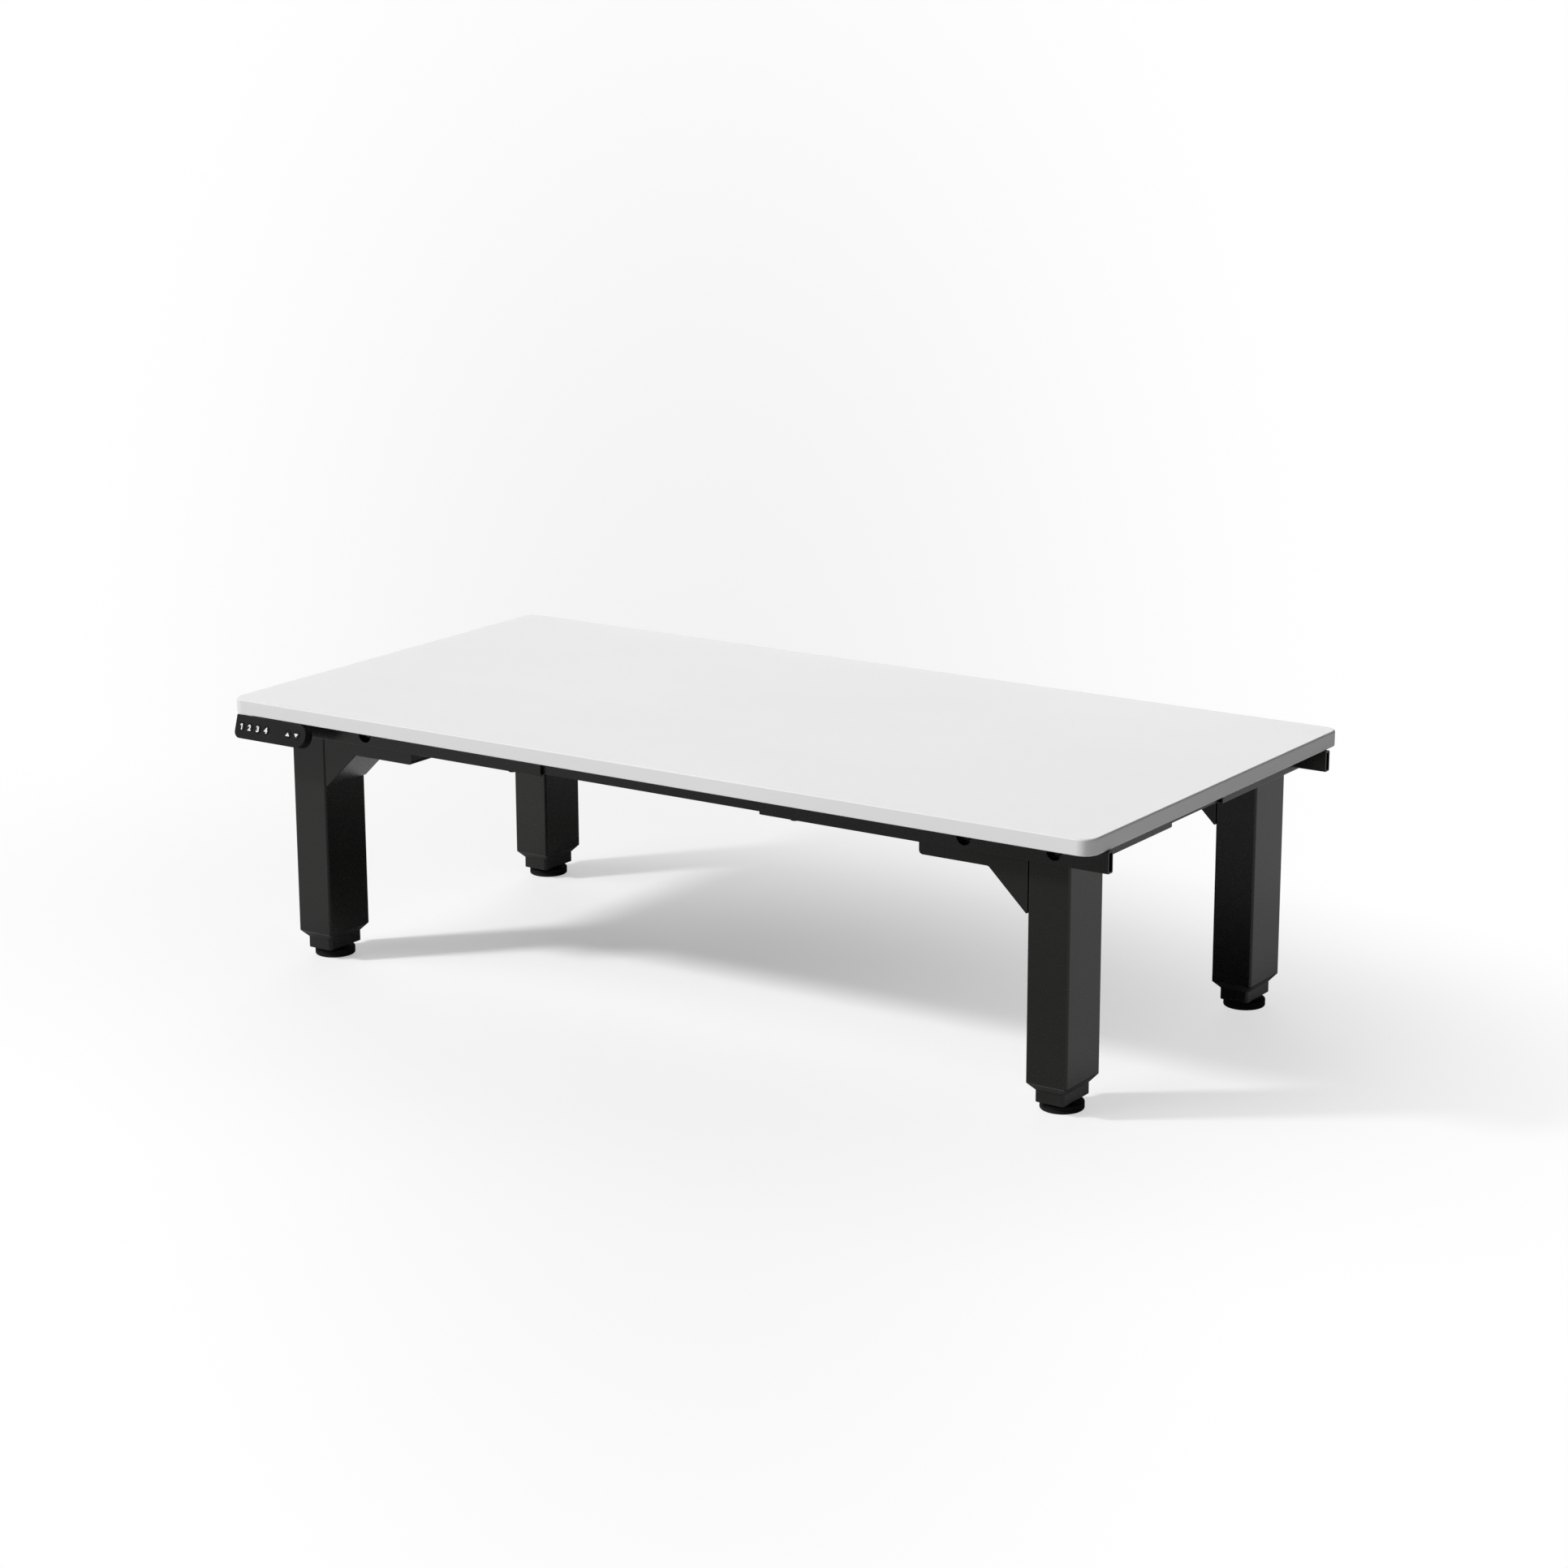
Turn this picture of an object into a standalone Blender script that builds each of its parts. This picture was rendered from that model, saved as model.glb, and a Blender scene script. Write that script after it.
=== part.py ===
"""Low desk on four motor-driven telescopic legs, standing at its lowest height.

Metres, +Z up. X runs along the front edge, the user sits on the -Y side, and
the origin lies on the floor below the middle of the frame.
"""
import math

import bmesh
import bpy
from mathutils import Matrix, Vector

# Table top
TOP_LENGTH = 1.210
TOP_DEPTH = 0.600
TOP_THICKNESS = 0.019
TOP_SHIFT = -0.005
TOP_CORNER_RADIUS = 0.018
TOP_EDGE_ROUNDING = 0.0025
DESK_HEIGHT = 0.334

# Clearances
SEAT_GAP = 0.0003
SLIDE_GAP = 0.0004

# Rails of the under-frame: box tubes at the ends, a channel between them
RAIL_HEIGHT = 0.0247
RAIL_WALL = 0.0018
RAIL_CORNER_RADIUS = 0.0015
RAIL_END_INSET = 0.002
FRONT_RAIL_INSET = 0.033
FRONT_RAIL_DEPTH = 0.01045
FRONT_RAIL_OPENING = 0.311
SIDE_RAIL_INSET = 0.0355
SIDE_RAIL_DEPTH = 0.01815
SIDE_RAIL_OPENING = 0.122
FRONT_CHANNEL_DEPTH = 0.0035
SIDE_CHANNEL_DEPTH = 0.0112
MIDDLE_RAIL_OVERLAP = 0.100
MIDDLE_RAIL_WALL = 0.0014
ACCESS_HOLE_DIAMETER = 0.0185
BOLT_DROP = 0.0105
LOCK_SCREW_INSET = 0.045

# Outer tube of a leg, and the arm that holds its motor
TUBE_WIDTH = 0.052
TUBE_DEPTH = 0.074
TUBE_WALL = 0.002
TUBE_CORNER_RADIUS = 0.003
TUBE_FLOOR_CLEARANCE = 0.035
ARM_REACH = 0.165
ARM_CORNER_RADIUS = 0.005
GUSSET_RUN = 0.050
GUSSET_DROP = 0.048
ARM_SHEET = 0.0015
ARM_TAB_LENGTH = 0.022
ARM_TAB_WIDTH = 0.044
ARM_TAB_SCREW_PITCH = 0.024
ARM_BOLT_OFFSET = 0.101
TUBE_BOLT_OFFSET = 0.0115

# Telescopic drive
INNER_WALL = 0.0018
INNER_CORNER_RADIUS = 0.004
INNER_END_PLATE = 0.006
COLLAR_HEIGHT = 0.0085
COLLAR_LIP = 0.001
COLLAR_SLEEVE = 0.032
COLLAR_SLEEVE_WALL = 0.0048
MOTOR_TOP_GAP = 0.0035
MOTOR_FLOOR_GAP = 0.003
MOTOR_DIAMETER = 0.034
MOTOR_END_GAP = 0.008
MOTOR_BOSS_DIAMETER = 0.014
MOTOR_BOSS_LENGTH = 0.005
MOTOR_SLOT_CLEARANCE = 0.0006
GEARBOX_SIDE_GAP = 0.00725
GEARBOX_OVERSIZE = 0.001
GEARBOX_ROUNDING = 0.0025
HUB_DIAMETER = 0.022
HUB_LENGTH = 0.006
HUB_SOCKET_DEPTH = 0.016
SPINDLE_DIAMETER = 0.012
SPINDLE_CHAMFER = 0.0015
SPINDLE_SPARE = 0.008
SPINDLE_TIP_GAP = 0.0458
NUT_FLANGE = 0.005
NUT_LENGTH = 0.025
NUT_STOP_GAP = 0.003

# Levelling feet
FOOT_DIAMETER = 0.050
FOOT_THICKNESS = 0.0095
FOOT_ROUNDING = 0.0018
FOOT_NECK_DIAMETER = 0.024
FOOT_NECK_HEIGHT = 0.0022
STUD_DIAMETER = 0.010
STUD_LENGTH = 0.022

# Handset under the front edge, left of the user
HANDSET_LENGTH = 0.114
HANDSET_HEIGHT = 0.0292
HANDSET_THICKNESS = 0.0125
HANDSET_WALL = 0.0016
HANDSET_TILT = math.radians(17)
HANDSET_END_INSET = 0.0097
HANDSET_EDGE_INSET = 0.0005
HANDSET_CORNER_RADIUS = 0.0065
HANDSET_EDGE_ROUNDING = 0.0006
BRACKET_SHEET = 0.002
BRACKET_RAIL_GAP = 0.001
BRACKET_END_INSET = 0.014
BRACKET_SCREW_INSET = 0.012
BOARD_THICKNESS = 0.0016
BOARD_DEPTH_IN_CASE = 0.0072
SWITCH_SIZE = 0.006
SWITCH_HEIGHT = 0.0018
BUTTON_DIAMETER = 0.0098
BUTTON_LIP = 0.0007
BUTTON_FLANGE_THICKNESS = 0.0008
BUTTON_PROUD = 0.0006
BUTTON_STEM_DIAMETER = 0.0032
BUTTON_TRAVEL = 0.0008
BUTTON_TRAVEL_SPARE = 0.0001
NUMBER_BUTTON_SPACING = 0.0021
ARROW_BUTTON_SPACING = 0.0024
FIRST_BUTTON_INSET = 0.0103
LAST_BUTTON_INSET = 0.0149

# Control box below the top
CONTROL_BOX_LENGTH = 0.230
CONTROL_BOX_WIDTH = 0.095
CONTROL_BOX_DROP = 0.0365
CONTROL_BOX_WALL = 0.002
CONTROL_BOX_REAR_GAP = 0.088
CONTROL_BOX_CORNER_RADIUS = 0.008
CONTROL_BOX_ROUNDING = 0.003
CONTROL_PLATE_SHEET = 0.002
CONTROL_PLATE_EAR = 0.016
SOCKET_WIDTH = 0.0135
SOCKET_HEIGHT = 0.011
SOCKET_PITCH = 0.021
SOCKET_COUNT = 5
SOCKET_END_INSET = 0.027
INLET_WIDTH = 0.027
INLET_HEIGHT = 0.020
INLET_DEPTH = 0.014
INLET_RECESS = 0.010
INLET_RIM = 0.002
INLET_END_INSET = 0.040
INLET_BLADE = (0.002, 0.004)
INLET_BLADE_PITCH = 0.007
INLET_BLADE_LENGTH = 0.008

# Fasteners
SCREW_HEAD_DIAMETER = 0.0084
SCREW_HEAD_HEIGHT = 0.0024
SCREW_DIAMETER = 0.0036
SCREW_GRIP = 0.011
BOLT_HEAD_DIAMETER = 0.011
BOLT_HEAD_HEIGHT = 0.0032
BOLT_DIAMETER = 0.006
BOLT_TIP = 0.003
LOCK_HEAD_DIAMETER = 0.010
LOCK_HEAD_HEIGHT = 0.001
LOCK_DIAMETER = 0.005
HEAD_LET_IN = 0.0003
HEAD_CROWN_SHARE = 0.6

# Facets and welding
CORNER_STEPS = 3
WIDE_CORNER_STEPS = 7
ROUND_STEPS = 24
HOLE_STEPS = 16
SCREW_STEPS = 8
WELD = 0.00001
OVERRUN = 0.002
SMOOTH_ANGLE = math.radians(35)

# Levels and places that follow from the sizes above
UNDERSIDE = DESK_HEIGHT - TOP_THICKNESS
FRAME_TOP = UNDERSIDE - SEAT_GAP
RAIL_BOTTOM = FRAME_TOP - RAIL_HEIGHT
BOLT_Z = UNDERSIDE - BOLT_DROP
FRONT_FACE = TOP_DEPTH / 2 - FRONT_RAIL_INSET
SIDE_FACE = TOP_LENGTH / 2 - SIDE_RAIL_INSET
LEG_FACE_Y = FRONT_FACE - FRONT_RAIL_DEPTH - SEAT_GAP
LEG_FACE_X = SIDE_FACE - SIDE_RAIL_DEPTH - SEAT_GAP
LEG_X = LEG_FACE_X - TUBE_WIDTH / 2
LEG_Y = LEG_FACE_Y - TUBE_DEPTH / 2
BORE_WIDTH = TUBE_WIDTH - 2 * TUBE_WALL
BORE_DEPTH = TUBE_DEPTH - 2 * TUBE_WALL
BORE_RADIUS = TUBE_CORNER_RADIUS - TUBE_WALL
INNER_WIDTH = BORE_WIDTH - 2 * (SEAT_GAP + COLLAR_SLEEVE_WALL + SLIDE_GAP)
INNER_DEPTH = BORE_DEPTH - 2 * (SEAT_GAP + COLLAR_SLEEVE_WALL + SLIDE_GAP)
INNER_BOTTOM = FOOT_THICKNESS + FOOT_NECK_HEIGHT + SEAT_GAP
STUD_TOP = FOOT_THICKNESS + FOOT_NECK_HEIGHT + STUD_LENGTH
ARM_START = TUBE_WIDTH / 2 + SEAT_GAP
MOTOR_Z = UNDERSIDE - MOTOR_TOP_GAP - MOTOR_DIAMETER / 2
ARM_BOTTOM = MOTOR_Z - MOTOR_DIAMETER / 2 - MOTOR_FLOOR_GAP - ARM_SHEET
GEARBOX_HEIGHT = MOTOR_DIAMETER + 2 * GEARBOX_OVERSIZE
GEARBOX_BOTTOM = MOTOR_Z - GEARBOX_HEIGHT / 2
HUB_BOTTOM = GEARBOX_BOTTOM - HUB_LENGTH
NUT_TOP = HUB_BOTTOM - NUT_STOP_GAP
INNER_TOP = NUT_TOP - NUT_FLANGE - SEAT_GAP
NUT_BOTTOM = NUT_TOP - NUT_FLANGE - NUT_LENGTH
SPINDLE_BOTTOM = STUD_TOP + SPINDLE_TIP_GAP
STROKE = NUT_BOTTOM - SPINDLE_BOTTOM - SPINDLE_SPARE
SPINDLE_TOP = HUB_BOTTOM + HUB_SOCKET_DEPTH - SEAT_GAP
SPINDLE_BORE = SPINDLE_DIAMETER / 2 + SLIDE_GAP
SCREW_HOLE = SCREW_DIAMETER / 2 + SEAT_GAP
BOLT_HOLE = BOLT_DIAMETER / 2 + SEAT_GAP
HANDSET_X = TOP_SHIFT - TOP_LENGTH / 2 + HANDSET_END_INSET + HANDSET_LENGTH / 2
HANDSET_Y = -TOP_DEPTH / 2 + HANDSET_EDGE_INSET
BRACKET_END = -FRONT_FACE - BRACKET_RAIL_GAP
BRACKET_LENGTH = HANDSET_LENGTH - 2 * BRACKET_END_INSET
BUTTON_FLANGE_DIAMETER = BUTTON_DIAMETER + 2 * BUTTON_LIP
CONTROL_BOX_BACK = FRONT_FACE - FRONT_RAIL_DEPTH - CONTROL_BOX_REAR_GAP
CONTROL_BOX_Y = CONTROL_BOX_BACK - CONTROL_BOX_WIDTH / 2

# Leg name, side (left -1, right 1) and row (front -1, rear 1)
LEGS = (
    ("front_left", -1, -1),
    ("front_right", 1, -1),
    ("rear_left", -1, 1),
    ("rear_right", 1, 1),
)

# Finish name: colour, roughness, metallic
FINISHES = {
    "white_laminate": ((0.83, 0.83, 0.82), 0.45, 0.0),
    "black_powder_coat": ((0.022, 0.022, 0.024), 0.5, 0.2),
    "black_plastic": ((0.018, 0.018, 0.019), 0.45, 0.0),
    "black_rubber": ((0.02, 0.02, 0.02), 0.8, 0.0),
    "handset_plastic": ((0.02, 0.02, 0.022), 0.35, 0.0),
    "motor_steel": ((0.32, 0.32, 0.33), 0.4, 0.9),
    "spindle_steel": ((0.55, 0.55, 0.56), 0.3, 1.0),
    "nut_plastic": ((0.75, 0.74, 0.68), 0.5, 0.0),
    "board_laminate": ((0.02, 0.16, 0.07), 0.5, 0.0),
}

# How an outline's two directions and its depth lie in space
FRAMES = {
    "X": Matrix(((0, 0, 1, 0), (1, 0, 0, 0), (0, 1, 0, 0), (0, 0, 0, 1))),
    "Y": Matrix(((1, 0, 0, 0), (0, 0, 1, 0), (0, 1, 0, 0), (0, 0, 0, 1))),
    "Z": Matrix.Identity(4),
}


def clear_scene():
    """Removes whatever the open file holds."""
    for item in list(bpy.data.objects):
        bpy.data.objects.remove(item)


def make_finishes():
    """One Principled material for each finish."""
    made = {}
    for name, (colour, roughness, metallic) in FINISHES.items():
        finish = bpy.data.materials.new(name)
        finish.use_nodes = True
        shader = finish.node_tree.nodes["Principled BSDF"]
        shader.inputs["Base Color"].default_value = (*colour, 1.0)
        shader.inputs["Roughness"].default_value = roughness
        shader.inputs["Metallic"].default_value = metallic
        made[name] = finish
    return made


def make_collection(name):
    """A collection for the desk's pieces."""
    made = bpy.data.collections.new(name)
    bpy.context.scene.collection.children.link(made)
    return made


def shape_of(mesh):
    """An unfinished shape at the origin."""
    shape = bpy.data.objects.new("shape", mesh)
    bpy.context.scene.collection.objects.link(shape)
    return shape


def shape_from(made):
    """Closes a bmesh with its faces outwards and makes it a shape."""
    bmesh.ops.recalc_face_normals(made, faces=made.faces)
    mesh = bpy.data.meshes.new("shape")
    made.to_mesh(mesh)
    made.free()
    return shape_of(mesh)


def evaluated(shape):
    """The mesh that a curve or a shape's modifiers make, welded, in place of the shape."""
    bpy.context.view_layer.update()
    graph = bpy.context.evaluated_depsgraph_get()
    mesh = bpy.data.meshes.new_from_object(shape.evaluated_get(graph))
    mesh.transform(shape.matrix_world)
    bpy.data.objects.remove(shape)
    made = bmesh.new()
    made.from_mesh(mesh)
    bpy.data.meshes.remove(mesh)
    bmesh.ops.remove_doubles(made, verts=made.verts, dist=WELD)
    return shape_from(made)


def filleted(corners, steps=CORNER_STEPS):
    """Outline through (u, v, radius) corners, with an arc at each corner that has a radius."""
    outline = []
    for index, (u, v, radius) in enumerate(corners):
        corner = Vector((u, v))
        if radius <= 0:
            outline.append(corner.to_tuple())
            continue
        back = (Vector(corners[index - 1][:2]) - corner).normalized()
        ahead = (Vector(corners[(index + 1) % len(corners)][:2]) - corner).normalized()
        half_angle = math.acos(back.dot(ahead)) / 2
        centre = corner + (back + ahead).normalized() * radius / math.sin(half_angle)
        start = corner + back * radius / math.tan(half_angle) - centre
        sweep = math.copysign(math.pi - 2 * half_angle, back.y * ahead.x - back.x * ahead.y)
        for step in range(steps + 1):
            turn = Matrix.Rotation(sweep * step / steps, 2)
            outline.append((centre + turn @ start).to_tuple())
    return outline


def rectangle(width, height, radius=0.0, centre=(0.0, 0.0), steps=CORNER_STEPS):
    """Rectangle about a centre, with round corners."""
    u, v = width / 2, height / 2
    corners = ((-u, -v), (u, -v), (u, v), (-u, v))
    return filleted([(centre[0] + a, centre[1] + b, radius) for a, b in corners], steps)


def prism(outline, low, high, axis="Z"):
    """Extrudes an outline from low to high along an axis."""
    curve = bpy.data.curves.new("outline", "CURVE")
    curve.dimensions = "2D"
    curve.fill_mode = "BOTH"
    curve.extrude = (high - low) / 2
    spline = curve.splines.new("POLY")
    spline.points.add(len(outline) - 1)
    for point, (u, v) in zip(spline.points, outline):
        point.co = (u, v, 0.0, 1.0)
    spline.use_cyclic_u = True
    shape = bpy.data.objects.new("outline", curve)
    bpy.context.scene.collection.objects.link(shape)
    shape.matrix_world = FRAMES[axis] @ Matrix.Translation((0, 0, (low + high) / 2))
    return evaluated(shape)


def loft(sections):
    """Closed skin through (outline, height) sections that have equally many points."""
    made = bmesh.new()
    rings = [[made.verts.new((u, v, z)) for u, v in outline] for outline, z in sections]
    count = len(rings[0])
    for lower, upper in zip(rings, rings[1:]):
        for i in range(count):
            j = (i + 1) % count
            made.faces.new((lower[i], lower[j], upper[j], upper[i]))
    made.faces.new(rings[0])
    made.faces.new(rings[-1])
    return shape_from(made)


def turned(profile, segments):
    """Turns (radius, height) points, listed from the top down, about Z."""
    mesh = bpy.data.meshes.new("profile")
    edges = [(i, i + 1) for i in range(len(profile) - 1)]
    mesh.from_pydata([(radius, 0.0, z) for radius, z in profile], edges, [])
    shape = shape_of(mesh)
    screw = shape.modifiers.new("turn", "SCREW")
    screw.steps = segments
    screw.render_steps = segments
    screw.use_merge_vertices = True
    screw.merge_threshold = WELD
    return evaluated(shape)


def cylinder(radius, low, high, axis="Z", centre=(0.0, 0.0), segments=HOLE_STEPS):
    """Round bar along an axis, about a centre in the outline's two directions."""
    made = bmesh.new()
    place = FRAMES[axis] @ Matrix.Translation((*centre, (low + high) / 2))
    bmesh.ops.create_cone(
        made, cap_ends=True, segments=segments, radius1=radius, radius2=radius,
        depth=high - low, matrix=place,
    )
    return shape_from(made)


def box(low, high):
    """Block between two opposite corners."""
    made = bmesh.new()
    low, high = Vector(low), Vector(high)
    place = Matrix.Translation((low + high) / 2) @ Matrix.Diagonal((*(high - low), 1.0))
    bmesh.ops.create_cube(made, size=1.0, matrix=place)
    return shape_from(made)


def block(u_range, v_range, w_range):
    """Block from three ranges, each given in either order."""
    ranges = [sorted(r) for r in (u_range, v_range, w_range)]
    return box([r[0] for r in ranges], [r[1] for r in ranges])


def gathered(shapes):
    """One shape that holds several separate solids."""
    made = bmesh.new()
    for shape in shapes:
        made.from_mesh(shape.data)
        bpy.data.objects.remove(shape)
    return shape_from(made)


def moved(shape, matrix):
    """A shape carried to its place."""
    shape.data.transform(matrix)
    return shape


def combined(shape, tool, operation):
    """An exact Boolean of a shape and a tool, which is used up."""
    modifier = shape.modifiers.new("combine", "BOOLEAN")
    modifier.operation = operation
    modifier.object = tool
    tool.hide_render = True
    made = evaluated(shape)
    bpy.data.objects.remove(tool)
    return made


def cut(shape, *tools):
    """A shape with each tool taken out of it."""
    for tool in tools:
        shape = combined(shape, tool, "DIFFERENCE")
    return shape


def joined(shape, *tools):
    """A shape with each overlapping tool made one with it."""
    for tool in tools:
        shape = combined(shape, tool, "UNION")
    return shape


def softened(shape, width, segments=2):
    """A shape with its sharp edges rounded."""
    bevel = shape.modifiers.new("soften", "BEVEL")
    bevel.width = width
    bevel.segments = segments
    bevel.limit_method = "ANGLE"
    bevel.angle_limit = SMOOTH_ANGLE
    return evaluated(shape)


def keep(shape, name, finish, parent=None):
    """Names a finished shape and puts it in the desk's collection, in its parent's frame."""
    shape.name = name
    shape.data.name = name
    shape.data.materials.clear()
    shape.data.materials.append(finishes[finish])
    shape.data.shade_smooth()
    shape.data.set_sharp_from_angle(angle=SMOOTH_ANGLE)
    bpy.context.scene.collection.objects.unlink(shape)
    desk.objects.link(shape)
    shape.parent = parent
    return shape


def copies(mesh, name, finish, axes):
    """The same piece at each leg of a dictionary of leg axes."""
    for leg, axis in axes.items():
        keep(shape_of(mesh), f"{name}_{leg}", finish, axis)


def empty(name, matrix):
    """A bare frame that carries pieces."""
    frame = bpy.data.objects.new(name, None)
    desk.objects.link(frame)
    frame.matrix_world = matrix
    return frame


def leg_frame(side, row):
    """Frame on a leg's axis at the floor. Its -Y points outwards, so rear legs are turned round."""
    turn = Matrix.Rotation(math.pi if row > 0 else 0.0, 4, "Z")
    return Matrix.Translation((side * LEG_X, row * LEG_Y, 0.0)) @ turn


def inward(side, row):
    """The direction along a leg frame's X that points to the middle of the desk."""
    return side * row


def handset_frame():
    """Frame at the top of the handset's face: X along it, Y into it, Z up it."""
    place = Matrix.Translation((HANDSET_X, HANDSET_Y, FRAME_TOP))
    return place @ Matrix.Rotation(-HANDSET_TILT, 4, "X")


def tab_screw_rows():
    """The two screws' places across an arm's tab."""
    return -ARM_TAB_SCREW_PITCH / 2, ARM_TAB_SCREW_PITCH / 2


def plate_screw_places():
    """The control box plate's four screws, in its ears."""
    x = (CONTROL_BOX_LENGTH + CONTROL_PLATE_EAR) / 2
    y = CONTROL_BOX_WIDTH / 2 - CONTROL_PLATE_EAR / 2
    return [(side * x, CONTROL_BOX_Y + row * y) for side in (-1, 1) for row in (-1, 1)]


def bracket_screw_places():
    """The handset bracket's two screws, along the middle of its flange."""
    y = (bracket_heel() + BRACKET_END) / 2
    x = BRACKET_LENGTH / 2 - BRACKET_SCREW_INSET
    return [(HANDSET_X + side * x, y) for side in (-1, 1)]


def top_screw_places():
    """Every place where a wood screw enters the top."""
    places = plate_screw_places() + bracket_screw_places()
    for _, side, row in LEGS:
        for y in tab_screw_rows():
            x = inward(side, row) * (ARM_REACH + ARM_TAB_LENGTH / 2)
            spot = leg_frame(side, row) @ Vector((x, y, 0.0))
            places.append((spot.x, spot.y))
    return places


def bracket_heel():
    """Where the back of the handset's bracket meets the top's underside, across the desk."""
    depth = HANDSET_THICKNESS + SEAT_GAP + BRACKET_SHEET
    return HANDSET_Y + depth / math.cos(HANDSET_TILT)


def headed(head_diameter, head_height, shank_diameter, shank_length):
    """Domed screw about Z: its head stands at height 0, slightly let in, and its shank runs down."""
    head = head_diameter / 2
    shank = shank_diameter / 2
    profile = [
        (0.0, head_height), (head * HEAD_CROWN_SHARE, head_height), (head, head_height / 2),
        (head, -HEAD_LET_IN), (shank, -HEAD_LET_IN), (shank, -shank_length), (0.0, -shank_length),
    ]
    return turned(profile, SCREW_STEPS)


def wood_screw(x, y, seat):
    """Screw up into the top, with its head under a sheet whose lower face is the seat."""
    length = UNDERSIDE + SCREW_GRIP - SEAT_GAP - seat
    screw = headed(SCREW_HEAD_DIAMETER, SCREW_HEAD_HEIGHT, SCREW_DIAMETER, length)
    return moved(screw, Matrix.Translation((x, y, seat)) @ Matrix.Rotation(math.pi, 4, "X"))


def lock_screw(x, y):
    """Low-headed screw up through a tube's lower wall to the middle channel."""
    screw = headed(LOCK_HEAD_DIAMETER, LOCK_HEAD_HEIGHT, LOCK_DIAMETER, RAIL_WALL + SLIDE_GAP / 4)
    return moved(screw, Matrix.Translation((x, y, RAIL_BOTTOM)) @ Matrix.Rotation(math.pi, 4, "X"))


def frame_bolts(side, row):
    """The two bolts that hold a rail's end tube to a leg's arm and tube."""
    hand = inward(side, row)
    seat = -TUBE_DEPTH / 2 - SEAT_GAP - RAIL_WALL
    bolts = []
    for x, wall in ((hand * ARM_BOLT_OFFSET, ARM_SHEET), (-hand * TUBE_BOLT_OFFSET, TUBE_WALL)):
        length = RAIL_WALL + SEAT_GAP + wall + BOLT_TIP
        bolt = headed(BOLT_HEAD_DIAMETER, BOLT_HEAD_HEIGHT, BOLT_DIAMETER, length)
        place = Matrix.Translation((x, seat, BOLT_Z)) @ Matrix.Rotation(math.pi / 2, 4, "X")
        bolts.append(moved(bolt, leg_frame(side, row) @ place))
    return bolts


def make_top():
    """Rounded board with a pilot hole for each screw below."""
    outline = rectangle(TOP_LENGTH, TOP_DEPTH, TOP_CORNER_RADIUS, (TOP_SHIFT, 0.0), WIDE_CORNER_STEPS)
    board = prism(outline, UNDERSIDE, DESK_HEIGHT)
    board = softened(board, TOP_EDGE_ROUNDING)
    low = UNDERSIDE - OVERRUN
    high = UNDERSIDE + SCREW_GRIP
    pilots = [cylinder(SCREW_HOLE, low, high, "Z", spot, SCREW_STEPS) for spot in top_screw_places()]
    keep(cut(board, gathered(pilots)), "tabletop", "white_laminate")


def rail_tube(near, far, low, high, axis):
    """Box tube between two faces across its length, with its top under the board."""
    centre = ((near + far) / 2, FRAME_TOP - RAIL_HEIGHT / 2)
    depth = abs(far - near)
    outside = rectangle(depth, RAIL_HEIGHT, RAIL_CORNER_RADIUS, centre)
    inside = rectangle(depth - 2 * RAIL_WALL, RAIL_HEIGHT - 2 * RAIL_WALL, 0.0, centre)
    start, end = sorted((low, high))
    return cut(prism(outside, start, end, axis), prism(inside, start - OVERRUN, end + OVERRUN, axis))


def channel_faces(near, far, depth):
    """Front and back of a middle channel that slides along an end tube's rear wall."""
    inwards = math.copysign(1.0, far - near)
    lip = far - inwards * (RAIL_WALL + SLIDE_GAP)
    return lip - inwards * depth, lip


def rail_channel(web, lip, reach, axis):
    """Middle channel, open to the back, that slides in the end tubes."""
    inwards = math.copysign(1.0, lip - web)
    low = RAIL_BOTTOM + RAIL_WALL + SLIDE_GAP
    high = FRAME_TOP - RAIL_WALL - SLIDE_GAP
    inner = web + inwards * MIDDLE_RAIL_WALL
    section = [
        (web, low), (lip, low), (lip, low + MIDDLE_RAIL_WALL), (inner, low + MIDDLE_RAIL_WALL),
        (inner, high - MIDDLE_RAIL_WALL), (lip, high - MIDDLE_RAIL_WALL), (lip, high), (web, high),
    ]
    return prism(section, -reach, reach, axis)


def make_long_rails():
    """Front and rear rails: bolted to the legs' outer faces, reached through round holes."""
    for row, row_name in ((-1, "front_rail"), (1, "rear_rail")):
        face = row * FRONT_FACE
        back = row * (FRONT_FACE - FRONT_RAIL_DEPTH)
        web, lip = channel_faces(face, back, FRONT_CHANNEL_DEPTH)
        access = sorted(((face + back) / 2, face + row * OVERRUN))
        for side, side_name in ((-1, "left"), (1, "right")):
            inner_end = side * FRONT_RAIL_OPENING / 2
            tube = rail_tube(face, back, inner_end, side * (TOP_LENGTH / 2 - RAIL_END_INSET), "X")
            for x in (LEG_X - ARM_BOLT_OFFSET, LEG_X + TUBE_BOLT_OFFSET):
                tube = cut(tube, cylinder(ACCESS_HOLE_DIAMETER / 2, *access, "Y", (side * x, BOLT_Z)))
            lock = lock_screw(inner_end + side * LOCK_SCREW_INSET, (face + back) / 2)
            tube = joined(tube, lock, *frame_bolts(side, row))
            keep(tube, f"{row_name}_{side_name}", "black_powder_coat")
        reach = FRONT_RAIL_OPENING / 2 + MIDDLE_RAIL_OVERLAP
        keep(rail_channel(web, lip, reach, "X"), f"{row_name}_middle", "black_powder_coat")


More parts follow.
